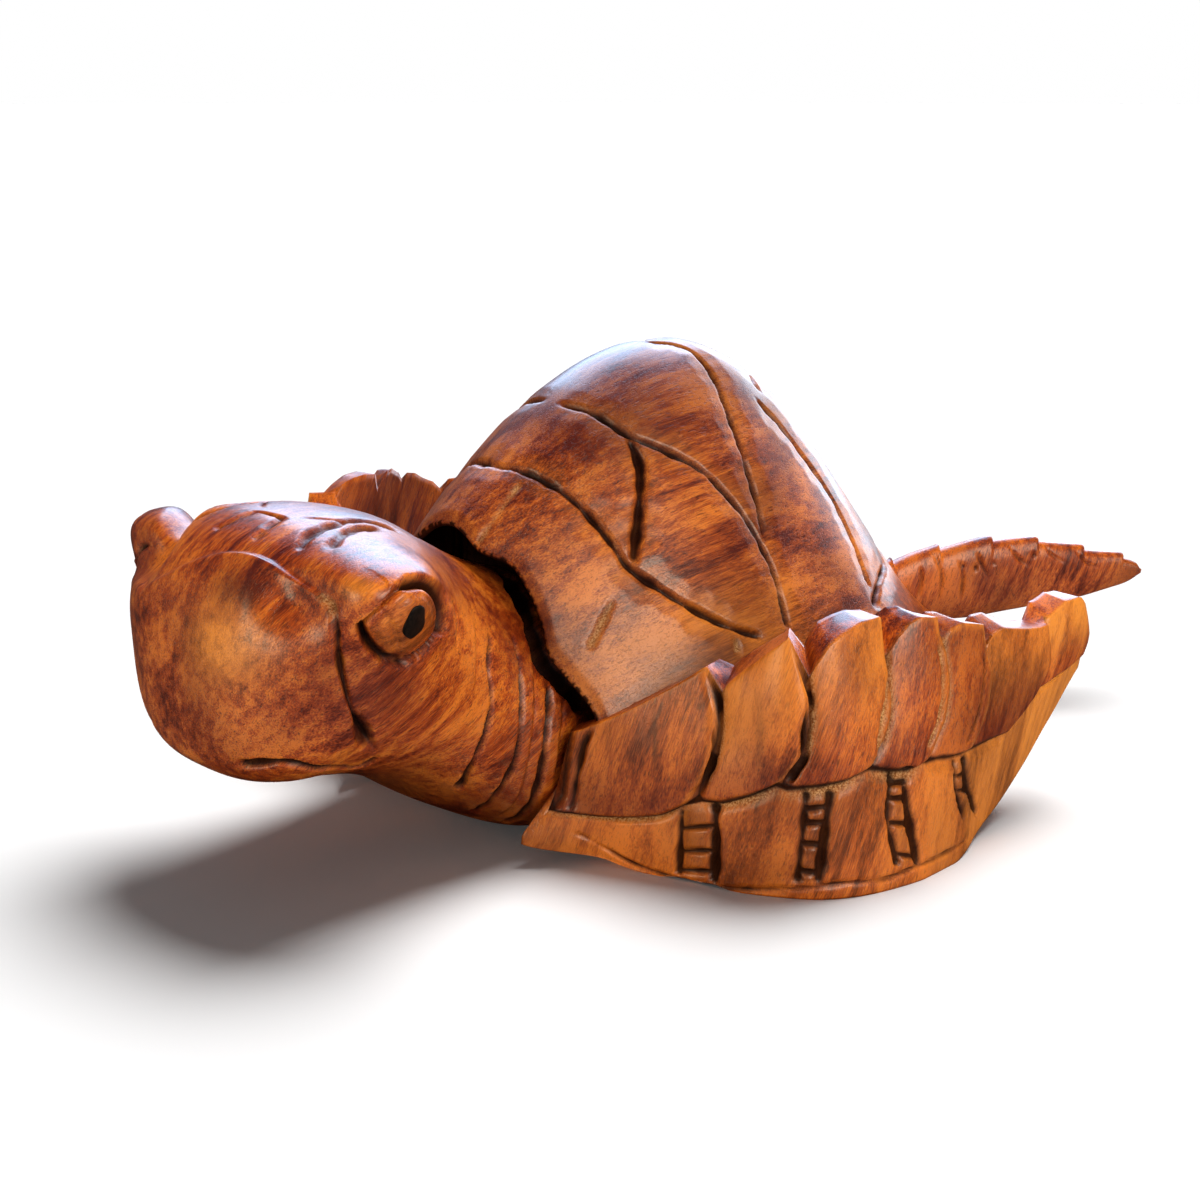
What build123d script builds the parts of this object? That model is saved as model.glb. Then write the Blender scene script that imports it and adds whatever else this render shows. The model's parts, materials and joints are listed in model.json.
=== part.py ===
"""A hand-carved hardwood sea turtle, glued and doweled from separate carved pieces.

Millimetres. The turtle looks along -Y, its left side is +X, and it stands on the plane z = 0.
"""

from build123d import *
from math import copysign, cos, pi, sin
import os

os.makedirs("parts", exist_ok=True)

# Overall sizes of the carving
shell_length = 140.0
shell_half_width = 54.0
shell_top = 93.0
shell_front_y = -58.0
belly_height = 16.0
head_front_y = -119.5
neck_half_width = 30.7
brow_half_width = 36.5
head_top = 71.0

# Joint planes and fits between the pieces
neck_seat_y = -42.0
shoulder_x = 31.0
shoulder_top = 31.0
fit = 0.15
end_gap = 0.5
overrun = 20.0

# Dowels
neck_dowel_diameter = 8.0
neck_dowel_length = 30.0
neck_dowel_spacing = 26.0
neck_dowel_height = 38.0
flipper_dowel_diameter = 5.0
flipper_dowel_length = 14.0
flipper_dowel_x = 37.0
flipper_dowel_heights = (8.5, 23.0)
hind_dowel_diameter = 5.0
hind_dowel_length = 16.0
shell_dowel_diameter = 8.0
shell_dowel_length = 20.0
shell_dowel_ys = (-18.0, 40.0)

# Shell: stations along its length, each a domed slice on a flat joint face
rim_height = 4.0
rim_rise = 3.0
rim_power = 3
dome_power = 2.3
dome_fullness = 0.78
hood_sweep = 14.0
hood_gap = 1.3
station_shares = (0.0, 0.1, 0.257, 0.443, 0.629, 0.786, 0.914, 1.0)
width_shares = (0.7, 0.835, 0.965, 1.0, 0.955, 0.81, 0.58, 0.3)
crest_shares = (0.605, 0.73, 0.915, 1.0, 0.875, 0.585, 0.3, 0.14)
flare_shares = (0.62, 0.4, 0.32, 0.42, 0.48, 0.58, 0.6, 0.5)
shell_slice_points = 13
dome_points = 8

# Plate lines, cut into the left half of the shell and mirrored to the right.
# Each point: a share of the half width there, then a share of the shell's length.
plate_cut_width = 2.6
plate_cut_depth = 1.9
plate_end_share = 0.3
plate_cut_points = 7
plate_step_share = 0.01
plate_line_shares = (
    ((-0.02, 0.1), (0.22, 0.117), (0.52, 0.152), (0.69, 0.186), (0.86, 0.315)),
    ((-0.02, 0.212), (0.33, 0.249), (0.565, 0.355), (0.72, 0.387), (0.86, 0.37)),
    ((0.32, 0.247), (0.43, 0.24), (0.52, 0.205), (0.61, 0.164)),
    ((-0.02, 0.437), (0.2, 0.46), (0.4, 0.443), (0.67, 0.395)),
    ((-0.02, 0.64), (0.28, 0.56), (0.45, 0.585), (0.62, 0.63), (0.8, 0.614)),
    ((-0.02, 0.83), (0.4, 0.84), (0.62, 0.79), (0.77, 0.67), (0.85, 0.58)),
)

# Belly block under the shell, and the tail carved with it
belly_rear_y = 70.0
belly_half_width = 49.0
belly_level_shares = (0.0, 0.5, 1.0)
belly_insets = (8.0, 3.8, 2.5)
belly_x_shares = (0.93, 0.98, 1.0, 0.98, 0.92, 0.8, 0.62, 0.38, 0.0)
belly_y_shares = (0.0, 0.15, 0.32, 0.5, 0.65, 0.8, 0.91, 0.98, 1.0)
tail_root_y = 60.0
tail_tip_y = 94.0
tail_height = 9.5
tail_place_shares = (0.0, 0.5, 0.85, 1.0)
tail_radii = (6.0, 4.2, 2.8, 1.6)
tail_flatness = 0.8

# Head and neck: stations from the blunt beak back to the joint face
head_station_shares = (0.0, 0.04, 0.11, 0.22, 0.35, 0.5, 0.66, 0.83, 1.0)
head_width_shares = (0.4, 0.65, 0.87, 1.02, 1.04, 0.99, 0.95, 0.95, 0.96)
head_top_shares = (0.73, 0.845, 0.93, 0.99, 1.0, 0.97, 0.88, 0.78, 0.71)
head_waist_shares = (0.58, 0.62, 0.66, 0.7, 0.68, 0.58, 0.42, 0.27, 0.2)
head_bottom_shares = (0.44, 0.405, 0.37, 0.345, 0.305, 0.225, 0.11, 0.02, 0.012)
head_upper_power = (2.9, 2.9, 2.9, 2.9, 2.7, 2.4, 2.0, 1.75, 1.7)
head_lower_power = (2.9, 2.8, 2.6, 2.4, 2.4, 2.5, 2.6, 2.8, 2.8)
head_slice_points = 11
head_crowding_power = 1.3
head_points = 6
brow_front_y = -110.5
brow_rear_y = -84.0
brow_thickness = 13.0
brow_depth = 14.0
brow_center_z = 61.0
brow_station_shares = (0.0, 0.3, 0.6, 1.0)
brow_size_shares = (0.22, 0.88, 1.0, 0.25)
eye_x = 28.4
eye_y = -91.5
eye_z = 55.0
eye_normal = (0.86, -0.42, 0.18)
eye_radius = 7.2
eye_socket_depth = 2.0
eyeball_proud = 1.6
eye_outline_shares = (
    (-1.06, -0.1),
    (-0.45, 0.62),
    (0.0, 0.98),
    (0.54, 0.98),
    (0.89, 0.49),
    (0.84, -0.03),
    (0.4, -0.6),
    (-0.13, -0.96),
    (-0.79, -0.57),
)
eyeball_size_shares = (0.95, 0.8, 0.45)
eyeball_level_shares = (-2.0, 0.45, 1.0)
pupil_radius = 2.6
pupil_depth = 3.0
pupil_shift = 1.4
pupil_outline_shares = ((0.77, 1.0), (0.7, -0.2), (-0.35, -1.1), (-0.7, -0.85), (-0.6, 0.0), (-0.1, 0.75))

# Front flipper: slices across the blade from the shoulder to the tip.
# Each slice: foot x, y, z, then top x, y, z, as shares of the blade's own reach, run and rise.
blade_half_span = 87.0
blade_front_y = -57.0
blade_tip_y = 50.0
blade_rise = 52.0
blade_foot_thickness = 9.0
blade_crest_thickness = 4.5
blade_bulge = 1.2
row_step = 1.1
feather_step = 1.3
feather_pillow = 0.8
feather_lap = 1.5
feather_points = 3
feather_round_power = 0.7
feather_level_shares = (0.0, 0.35, 0.7, 1.0)
core_level_shares = (0.0, 0.4, 0.78)
core_run_shares = (0.0, 0.06, 0.117, 0.195, 0.275, 0.351, 0.425, 0.498, 0.6, 0.7, 0.77, 0.84, 0.92, 1.0)
seat_run_share = 0.12
run_step_share = 0.01
shell_ledge_reach = 16.0
shell_ledge_depth = 14.0
front_run_shares = (0.0, 0.117, 0.195, 0.275, 0.351, 0.498, 0.601, 0.699, 0.837, 1.0)
front_slice_shares = (
    (0.0, 0.0, 0.09, 0.03, 0.03, 0.63),
    (0.27, 0.065, 0.0, 0.25, 0.105, 0.74),
    (0.464, 0.1, 0.0, 0.395, 0.145, 0.8),
    (0.643, 0.13, 0.0, 0.57, 0.175, 0.89),
    (0.82, 0.187, 0.0, 0.715, 0.197, 0.965),
    (0.985, 0.355, 0.0, 0.81, 0.37, 0.97),
    (1.0, 0.495, 0.0, 0.885, 0.483, 0.945),
    (0.94, 0.617, 0.04, 0.91, 0.605, 0.875),
    (0.915, 0.757, 0.165, 0.91, 0.81, 0.78),
    (0.91, 0.97, 0.52, 0.91, 0.944, 0.86),
)
# Feathers of the upper row: where the lower edge runs from and to, how high it is at both ends,
# then the same for the top edge, as shares of the blade's run and of its height there.
feather_shares = (
    (0.0, 0.19, 0.23, 0.39, 0.0, 0.21, 0.78, 0.98),
    (0.2, 0.32, 0.4, 0.455, 0.228, 0.345, 0.84, 1.0),
    (0.325, 0.445, 0.435, 0.48, 0.368, 0.49, 0.82, 1.005),
    (0.447, 0.545, 0.475, 0.46, 0.497, 0.593, 0.84, 1.0),
    (0.548, 0.632, 0.456, 0.445, 0.6, 0.694, 0.87, 0.994),
    (0.637, 0.83, 0.442, 0.578, 0.703, 0.85, 0.85, 0.983),
    (0.832, 1.0, 0.58, 0.3, 0.86, 1.0, 1.0, 0.95),
)
right_rise_share = 1.1

# Hind flipper: ovals on edge between a foot and a crest, from the root to the rounded tip
hind_half_span = 57.5
hind_tip_y = 119.6
hind_rise = 20.5
hind_lift = 3.5
hind_root_x_share = 0.315
hind_root_y_share = 0.814
hind_side = (0.83, -0.55, 0.1)
hind_slice_points = 9
hind_run_shares = (0.0, 0.17, 0.33, 0.5, 0.67, 0.85, 1.0)
hind_slice_shares = (
    (0.0, 0.0, 0.0, 0.0, 0.0, 0.62),
    (0.18, 0.2, 0.0, 0.17, 0.2, 0.86),
    (0.4, 0.4, 0.05, 0.43, 0.445, 1.0),
    (0.59, 0.605, 0.12, 0.63, 0.635, 0.97),
    (0.77, 0.78, 0.2, 0.81, 0.81, 0.83),
    (0.93, 0.93, 0.33, 0.96, 0.95, 0.7),
    (1.0, 0.985, 0.5, 1.0, 0.99, 0.56),
)
hind_thicknesses = (8.0, 8.5, 8.0, 7.0, 6.0, 4.6, 1.2)
oval_points = 12


def between(place, places, values):
    """The value at a place, on an even curve through a table of places and values."""
    steps = [b - a for a, b in zip(places, places[1:])]
    secants = [(b - a) / step for a, b, step in zip(values, values[1:], steps)]
    slopes = [secants[0]]
    for before, after, step, next_step in zip(secants, secants[1:], steps, steps[1:]):
        slopes.append((before * next_step + after * step) / (step + next_step))
    slopes.append(secants[-1])
    n = max(k for k in range(len(steps)) if k == 0 or places[k] <= place)
    t = min(max((place - places[n]) / steps[n], 0), 1)
    return (
        values[n]
        + t**2 * (3 - 2 * t) * (values[n + 1] - values[n])
        + t * (1 - t) ** 2 * steps[n] * slopes[n]
        - t**2 * (1 - t) * steps[n] * slopes[n + 1]
    )


def row_between(place, places, rows):
    """A whole row of a table at a place, each column on its own even curve."""
    return [between(place, places, column) for column in zip(*rows)]


def skin(rings):
    """A solid of flat facets, as a knife leaves them, over rings of equally many points."""
    facets = []
    for here, there in zip(rings, rings[1:]):
        for n in range(len(here)):
            a, b, c, d = here[n - 1], here[n], there[n], there[n - 1]
            facets += [(a, b, c), (a, c, d)]
    for ring in (rings[0], rings[-1]):
        middle = sum(ring, Vector()) / len(ring)
        facets += [(ring[n - 1], ring[n], middle) for n in range(len(ring))]
    return Solid(Shell([Face(Wire.make_polygon(corners)) for corners in facets]))


def oval_ring(middle, across, upwards):
    """Points round an oval, from its middle and its two half axes."""
    turns = [2 * pi * n / oval_points for n in range(oval_points)]
    return [middle + across * cos(turn) + upwards * sin(turn) for turn in turns]


def dome_point(across, place):
    """A point on the shell's dome: a round arch mixed with a bell, wider and higher by place."""
    half_width = between(place, station_shares, width_shares) * shell_half_width
    crest = belly_height + between(place, station_shares, crest_shares) * (shell_top - belly_height)
    rim = belly_height + rim_height + rim_rise * place**rim_power
    flare = between(place, station_shares, flare_shares)
    reach = min(abs(across), 1)
    arch = (1 - reach**dome_power) ** dome_fullness
    bell = (1 + cos(pi * reach)) / 2
    height = rim + (crest - rim) * (arch * (1 - flare) + bell * flare)
    return Vector(across * half_width, shell_front_y + place * shell_length, height)


def shell_ring(place):
    """A slice of the shell: over the dome from right to left, then along the flat joint face."""
    over = [dome_point(sin(pi / 2 * n / dome_points), place) for n in range(-dome_points, dome_points + 1)]
    return over + [Vector(over[-1].X, over[-1].Y, belly_height), Vector(over[0].X, over[0].Y, belly_height)]


def plate_cut(line):
    """A v-shaped cut that follows a plate line over the dome, shallow at both ends."""
    knots = [n / (len(line) - 1) for n in range(len(line))]
    spots = [row_between(n / plate_cut_points, knots, line) for n in range(plate_cut_points + 1)]
    path = [dome_point(*spot) for spot in spots]
    rings = []
    for n, (across, place) in enumerate(spots):
        ahead = path[min(n + 1, plate_cut_points)] - path[max(n - 1, 0)]
        sideways = dome_point(across + plate_step_share, place) - path[n]
        rearwards = dome_point(across, place + plate_step_share) - path[n]
        outward = sideways.cross(rearwards).normalized()
        aside = outward.cross(ahead).normalized() * plate_cut_width
        depth = plate_cut_depth * (plate_end_share if n in (0, plate_cut_points) else 1)
        mouth = path[n] + outward * plate_cut_depth
        rings.append([mouth - aside, path[n] - outward * depth, mouth + aside])
    return skin(rings)


def head_ring(place, gap=0.0):
    """A slice of the head and neck: two half ovals that meet where it is widest."""
    half_width = between(place, head_station_shares, head_width_shares) * neck_half_width + gap
    waist = between(place, head_station_shares, head_waist_shares) * head_top
    crest = between(place, head_station_shares, head_top_shares) * head_top + gap
    low = between(place, head_station_shares, head_bottom_shares) * head_top - gap
    upper_power = between(place, head_station_shares, head_upper_power)
    lower_power = between(place, head_station_shares, head_lower_power)
    y = head_front_y + place * (neck_seat_y - head_front_y)
    ring = []
    for n in range(4 * head_points):
        turn = pi / 2 * (n + 1 / 2) / head_points
        end, power = (crest, upper_power) if turn < pi else (low, lower_power)
        x = copysign(half_width * abs(cos(turn)) ** (2 / power), cos(turn))
        ring.append(Vector(x, y, waist + (end - waist) * abs(sin(turn)) ** (2 / power)))
    return ring


def head_skin(gap=0.0):
    """The head and neck, or with a gap the hollow that they need under the hood."""
    places = [(n / head_slice_points) ** head_crowding_power for n in range(head_slice_points + 1)]
    return skin([head_ring(place, gap) for place in places])


def eye_plane(side):
    """The plane of an eye, left for a side of 1 and right for -1, its x pointing along the face."""
    x, y, z = eye_normal
    return Plane(origin=(side * eye_x, eye_y, eye_z), x_dir=(-y, side * x, 0), z_dir=(side * x, y, z))


def eye_outline(size, side):
    """The eye's rounded outline at a size."""
    Polygon(*[(side * x * size, y * size) for x, y in eye_outline_shares], align=None)


def pupil_outline(size, side):
    """The pupil's knife-cut outline at a size, behind the middle of the eye."""
    with Locations((side * pupil_shift, 0)):
        Polygon(*[(side * x * size, y * size) for x, y in pupil_outline_shares], align=None)


def blind_holes(plane, places, diameter, length):
    """Dowel holes bored both ways from a joint plane, a little wider and longer than the dowels."""
    with BuildSketch(plane) as mouths:
        with Locations(*places):
            Circle(diameter / 2 + fit)
    extrude(mouths.sketch, amount=length / 2 + end_gap, both=True, mode=Mode.SUBTRACT)


def dowel_group(plane, places, diameter, length):
    """Turned dowels, half their length on each side of a joint plane."""
    with BuildSketch(plane) as ends:
        with Locations(*places):
            Circle(diameter / 2)
    extrude(ends.sketch, amount=length / 2, both=True)


def blade_thickness(up):
    """How thick the front blade is at a share of its height."""
    return blade_foot_thickness + (blade_crest_thickness - blade_foot_thickness) * min(up, 1)


def blade_foot(run):
    """The foot of the front blade at a share of its run."""
    x, y, z = row_between(run, front_run_shares, [row[:3] for row in front_slice_shares])
    reach = blade_half_span - shoulder_x
    return Vector(shoulder_x + x * reach, blade_front_y + y * (blade_tip_y - blade_front_y), z * blade_rise)


def blade_point(run, up, rise, proud=0.0):
    """A point of the front blade's outer face, or that far in front of it or behind it."""
    foot = blade_foot(run)
    x, y, z = row_between(run, front_run_shares, [row[3:] for row in front_slice_shares])
    reach = blade_half_span - shoulder_x
    top = Vector(
        shoulder_x + x * reach,
        blade_front_y + y * (blade_tip_y - blade_front_y),
        z * blade_rise * rise,
    )
    ahead = blade_foot(run + run_step_share) - blade_foot(run - run_step_share)
    outward = Vector(ahead.Y, -ahead.X, 0).normalized()
    return foot + (top - foot) * up + outward * (proud + blade_bulge * sin(pi * min(up, 1)))


def core_ring(run, rise):
    """A slice of the blade without its upper feathers: up the outer face, down the inner one."""
    outer = [blade_point(run, up, rise) for up in core_level_shares]
    if run < seat_run_share:
        inner = [Vector(point.X, neck_seat_y, point.Z) for point in outer]
    else:
        inner = [blade_point(run, up, rise, -blade_thickness(up)) for up in core_level_shares]
    return outer + inner[::-1]


def feather(shares, rise):
    """One feather: it starts low and sunk behind its neighbour, and ends high and proud of the next."""
    low_from, low_to, foot_from, foot_to, top_from, top_to, tip_from, tip_to = shares
    rings = []
    for n in range(feather_points + 1):
        t = n / feather_points
        low_run = low_from + (low_to - low_from) * t
        low_up = foot_from + (foot_to - foot_from) * t
        top_run = top_from + (top_to - top_from) * t
        top_up = tip_from + (tip_to - tip_from) * t**feather_round_power
        ring = []
        for level in feather_level_shares:
            run = low_run + (top_run - low_run) * level
            up = low_up + (top_up - low_up) * level
            pillow = feather_pillow * sin(pi * t) * sin(pi * level)
            ring.append(blade_point(run, up, rise, row_step + feather_step * (t - 1 / 2) + pillow))
        ring.append(blade_point(top_run, top_up, rise, -blade_thickness(top_up)))
        ring.append(blade_point(low_run, (low_up + top_up) / 2, rise, feather_lap - blade_thickness(low_up)))
        rings.append(ring)
    return skin(rings)


def front_flipper(rise):
    """The left front flipper, its crest raised by a factor."""
    core = skin([core_ring(run, rise) for run in core_run_shares])
    add([core] + [feather(shares, rise) for shares in feather_shares])
    # The ledge that the shell's front corner stands on
    with BuildSketch(Plane.XY.offset(shoulder_top)) as ledge:
        with Locations((shoulder_x, neck_seat_y)):
            Rectangle(2 * shell_ledge_reach, 2 * shell_ledge_depth)
    extrude(ledge.sketch, amount=blade_rise, mode=Mode.SUBTRACT)
    blind_holes(seat_plane, left_places, flipper_dowel_diameter, flipper_dowel_length)


def hind_middle(run):
    """The middle of the left hind flipper at a share of its run, with half its height there."""
    fx, fy, fz, tx, ty, tz = row_between(run, hind_run_shares, hind_slice_shares)
    reach = hind_half_span - hind_root_x
    length = hind_tip_y - hind_root_y
    foot = Vector(hind_root_x + fx * reach, hind_root_y + fy * length, hind_low_z + fz * hind_rise)
    top = Vector(hind_root_x + tx * reach, hind_root_y + ty * length, hind_low_z + tz * hind_rise)
    inset = side_way * between(run, hind_run_shares, hind_thicknesses) / 2
    return (foot + top) / 2 - inset, (top - foot) / 2


def hind_skin(grow=0.0):
    """The left hind flipper, or with grow the room that it needs in the shell."""
    rings = []
    for n in range(hind_slice_points + 1):
        run = n / hind_slice_points
        middle, upwards = hind_middle(run)
        half_thickness = between(run, hind_run_shares, hind_thicknesses) / 2 + grow
        upwards += upwards.normalized() * grow
        if n == 0:
            middle -= hind_plane.z_dir * grow
        rings.append(oval_ring(middle, side_way * half_thickness, upwards))
    return skin(rings)


side_way = Vector(*hind_side).normalized()
hind_root_x = hind_root_x_share * shell_half_width
hind_root_y = shell_front_y + hind_root_y_share * shell_length
hind_low_z = belly_height + hind_lift
seat_plane = Plane.XZ.offset(-neck_seat_y)
belly_plane = Plane.XY.offset(belly_height)
neck_places = [(-neck_dowel_spacing / 2, neck_dowel_height), (neck_dowel_spacing / 2, neck_dowel_height)]
left_places = [(flipper_dowel_x, z) for z in flipper_dowel_heights]
right_places = [(-x, z) for x, z in left_places]
shell_places = [(0, y) for y in shell_dowel_ys]
hind_root = hind_middle(0)[0]
hind_plane = Plane(origin=hind_root, z_dir=hind_middle(run_step_share)[0] - hind_root)
hind_places = [(0, 0)]

# The room that the left hind flipper and its dowel need in the shell
with BuildPart() as hind_room:
    add(hind_skin(fit))
    with BuildSketch(hind_plane):
        Circle(hind_dowel_diameter / 2 + fit)
    extrude(amount=hind_dowel_length / 2 + end_gap, both=True)

# Shell
with BuildPart() as carapace:
    add(skin([shell_ring(n / shell_slice_points) for n in range(shell_slice_points + 1)]))
    # The hood's edge bows forward over the neck
    with BuildSketch(Plane.XY):
        with BuildLine():
            bow = ThreePointArc(
                (-shell_half_width, shell_front_y + hood_sweep),
                (0, shell_front_y),
                (shell_half_width, shell_front_y + hood_sweep),
            )
            Polyline(
                bow @ 1,
                (shell_half_width, shell_front_y - overrun),
                (-shell_half_width, shell_front_y - overrun),
                bow @ 0,
            )
        make_face()
    extrude(amount=shell_top + overrun, mode=Mode.SUBTRACT)
    # The front below the shoulders' top is cut back to the seat plane
    with BuildSketch(seat_plane):
        with Locations((0, shoulder_top / 2)):
            Rectangle(shell_half_width * 2, shoulder_top)
    extrude(amount=shell_length, mode=Mode.SUBTRACT)
    # The hollow under the hood is the neck's own shape with a gap all round
    add(head_skin(hood_gap), mode=Mode.SUBTRACT)
    blind_holes(belly_plane, shell_places, shell_dowel_diameter, shell_dowel_length)
    blind_holes(seat_plane, neck_places, neck_dowel_diameter, neck_dowel_length)
    blind_holes(seat_plane, left_places + right_places, flipper_dowel_diameter, flipper_dowel_length)
    add(hind_room.part, mode=Mode.SUBTRACT)
    add(mirror(hind_room.part, about=Plane.YZ, mode=Mode.PRIVATE), mode=Mode.SUBTRACT)
    left_cuts = [plate_cut(line) for line in plate_line_shares]
    right_cuts = [cut.mirror(Plane.YZ) for cut in left_cuts]
    add(left_cuts + right_cuts, mode=Mode.SUBTRACT)
carapace.part.label = "carapace"

# Belly block, with a flat base to stand on and the short tail behind
with BuildPart() as body:
    rings = []
    for level, inset in zip(belly_level_shares, belly_insets):
        half_width = belly_half_width - inset
        run = belly_rear_y - inset - neck_seat_y
        half = [
            Vector(x * half_width, neck_seat_y + y * run, level * belly_height)
            for x, y in zip(belly_x_shares, belly_y_shares)
        ]
        rings.append(half + [Vector(-point.X, point.Y, point.Z) for point in half[-2::-1]])
    add(skin(rings))
    rings = []
    for place, radius in zip(tail_place_shares, tail_radii):
        middle = Vector(0, tail_root_y + place * (tail_tip_y - tail_root_y), tail_height)
        rings.append(oval_ring(middle, Vector(radius, 0, 0), Vector(0, 0, radius * tail_flatness)))
    add(skin(rings))
    blind_holes(belly_plane, shell_places, shell_dowel_diameter, shell_dowel_length)
    blind_holes(seat_plane, left_places[:1] + right_places[:1], flipper_dowel_diameter, flipper_dowel_length)
body.part.label = "body"

# Head and neck in one piece, with the brow ridges and the eyes
with BuildPart() as head:
    add(head_skin())
    # Brow ridges swell over the eyes
    brow_x = brow_half_width - brow_thickness / 2
    for side in (1, -1):
        rings = []
        for place, size in zip(brow_station_shares, brow_size_shares):
            y = brow_front_y + place * (brow_rear_y - brow_front_y)
            across = Vector(size * brow_thickness / 2, 0, 0)
            upwards = Vector(0, 0, size * brow_depth / 2)
            rings.append(oval_ring(Vector(side * brow_x, y, brow_center_z), across, upwards))
        add(skin(rings))
    # Sockets, eyeballs and the cut pupils
    for side in (1, -1):
        plane = eye_plane(side)
        with BuildSketch(plane.offset(-eye_socket_depth)) as socket:
            eye_outline(eye_radius, side)
        extrude(socket.sketch, amount=eye_socket_depth + overrun, mode=Mode.SUBTRACT)
        sizes = []
        for size, height in zip(eyeball_size_shares, eyeball_level_shares):
            with BuildSketch(plane.offset(height * eyeball_proud)) as slice_of_eye:
                eye_outline(size * eye_radius, side)
            sizes.append(slice_of_eye.sketch)
        loft(sizes, ruled=True)
        with BuildSketch(plane.offset(eyeball_proud - pupil_depth)) as pupil_hole:
            pupil_outline(pupil_radius + fit, side)
        extrude(pupil_hole.sketch, amount=pupil_depth + overrun, mode=Mode.SUBTRACT)
    blind_holes(seat_plane, neck_places, neck_dowel_diameter, neck_dowel_length)
head.part.label = "head"

# Black plugs for the pupils
with BuildPart() as pupil_left:
    with BuildSketch(eye_plane(1).offset(eyeball_proud - pupil_depth)):
        pupil_outline(pupil_radius, 1)
    extrude(amount=pupil_depth)
pupil_left.part.label = "pupil_left"

with BuildPart() as pupil_right:
    add(mirror(pupil_left.part, about=Plane.YZ, mode=Mode.PRIVATE))
pupil_right.part.label = "pupil_right"

# Front flippers: the right one was carved with a slightly higher crest
with BuildPart() as front_flipper_left:
    front_flipper(1.0)
front_flipper_left.part.label = "front_flipper_left"

with BuildPart() as front_flipper_right:
    front_flipper(right_rise_share)
    mirror(about=Plane.YZ, mode=Mode.REPLACE)
front_flipper_right.part.label = "front_flipper_right"

# Hind flippers, let into the shell's flanks
with BuildPart() as hind_flipper_left:
    add(hind_skin())
    blind_holes(hind_plane, hind_places, hind_dowel_diameter, hind_dowel_length)
hind_flipper_left.part.label = "hind_flipper_left"

with BuildPart() as hind_flipper_right:
    add(mirror(hind_flipper_left.part, about=Plane.YZ, mode=Mode.PRIVATE))
hind_flipper_right.part.label = "hind_flipper_right"

# Dowels in the joints
with BuildPart() as neck_dowels:
    dowel_group(seat_plane, neck_places, neck_dowel_diameter, neck_dowel_length)
neck_dowels.part.label = "neck_dowels"

with BuildPart() as front_flipper_dowels:
    dowel_group(seat_plane, left_places + right_places, flipper_dowel_diameter, flipper_dowel_length)
front_flipper_dowels.part.label = "front_flipper_dowels"

with BuildPart() as hind_flipper_dowels:
    dowel_group(hind_plane, hind_places, hind_dowel_diameter, hind_dowel_length)
    mirror(about=Plane.YZ)
hind_flipper_dowels.part.label = "hind_flipper_dowels"

with BuildPart() as shell_dowels:
    dowel_group(belly_plane, shell_places, shell_dowel_diameter, shell_dowel_length)
shell_dowels.part.label = "shell_dowels"

for piece in (
    carapace,
    body,
    head,
    pupil_left,
    pupil_right,
    front_flipper_left,
    front_flipper_right,
    hind_flipper_left,
    hind_flipper_right,
    neck_dowels,
    front_flipper_dowels,
    hind_flipper_dowels,
    shell_dowels,
):
    export_step(piece.part, f"parts/{piece.part.label}.step")
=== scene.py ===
# %% [markdown]
# # A carved wooden sea turtle
#
# The turtle is carved from stained, lacquered hardwood: a domed shell with v-cut plate lines, a
# blunt head with worn eyes, two feathered front flippers and two swept hind flippers.
# Each carved piece is a surface worked out on a grid with numpy. Its tool cuts are then pressed
# into the grid, so that the grooves are real geometry and not only a pattern in the material.
# Sculpting by hand would give the same look, but numbers can be changed and run again.

# %% Load the fixed frame
import json

import bmesh
import bpy
import numpy as np
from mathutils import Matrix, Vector
from mathutils.bvhtree import BVHTree

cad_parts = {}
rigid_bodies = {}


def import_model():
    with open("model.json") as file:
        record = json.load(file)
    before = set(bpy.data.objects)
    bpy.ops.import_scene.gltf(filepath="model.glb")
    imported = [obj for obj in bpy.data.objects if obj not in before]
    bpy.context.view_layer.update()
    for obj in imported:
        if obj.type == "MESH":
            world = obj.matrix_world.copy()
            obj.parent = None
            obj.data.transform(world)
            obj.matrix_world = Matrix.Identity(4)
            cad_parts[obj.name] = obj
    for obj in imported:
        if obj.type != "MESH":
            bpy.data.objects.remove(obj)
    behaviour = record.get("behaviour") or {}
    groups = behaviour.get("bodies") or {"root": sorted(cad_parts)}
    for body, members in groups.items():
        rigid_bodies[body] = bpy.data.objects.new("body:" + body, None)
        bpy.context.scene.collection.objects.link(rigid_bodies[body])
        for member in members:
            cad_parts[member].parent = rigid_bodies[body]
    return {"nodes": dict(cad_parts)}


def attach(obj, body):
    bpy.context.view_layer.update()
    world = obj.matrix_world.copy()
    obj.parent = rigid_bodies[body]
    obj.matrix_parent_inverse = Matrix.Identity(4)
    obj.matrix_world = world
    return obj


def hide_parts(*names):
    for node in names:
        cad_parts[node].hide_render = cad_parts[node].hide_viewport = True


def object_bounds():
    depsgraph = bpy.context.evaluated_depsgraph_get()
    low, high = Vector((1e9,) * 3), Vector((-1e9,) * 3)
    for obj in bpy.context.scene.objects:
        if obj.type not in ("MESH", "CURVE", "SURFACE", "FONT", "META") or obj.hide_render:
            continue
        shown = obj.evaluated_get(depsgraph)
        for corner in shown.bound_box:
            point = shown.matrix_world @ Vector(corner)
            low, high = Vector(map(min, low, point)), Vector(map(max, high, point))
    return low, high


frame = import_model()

MM = 0.001
CAD_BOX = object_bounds()
print("nodes", sorted(frame["nodes"]))

# %% [markdown]
# ## The camera comes first
#
# The camera stands where the photographer stood, low and to the turtle's front left. It comes
# first because the tool cuts were read off the photograph: a cut is a short list of pixels, and a
# line of sight through each pixel says where on the wood the cut lies.

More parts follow.
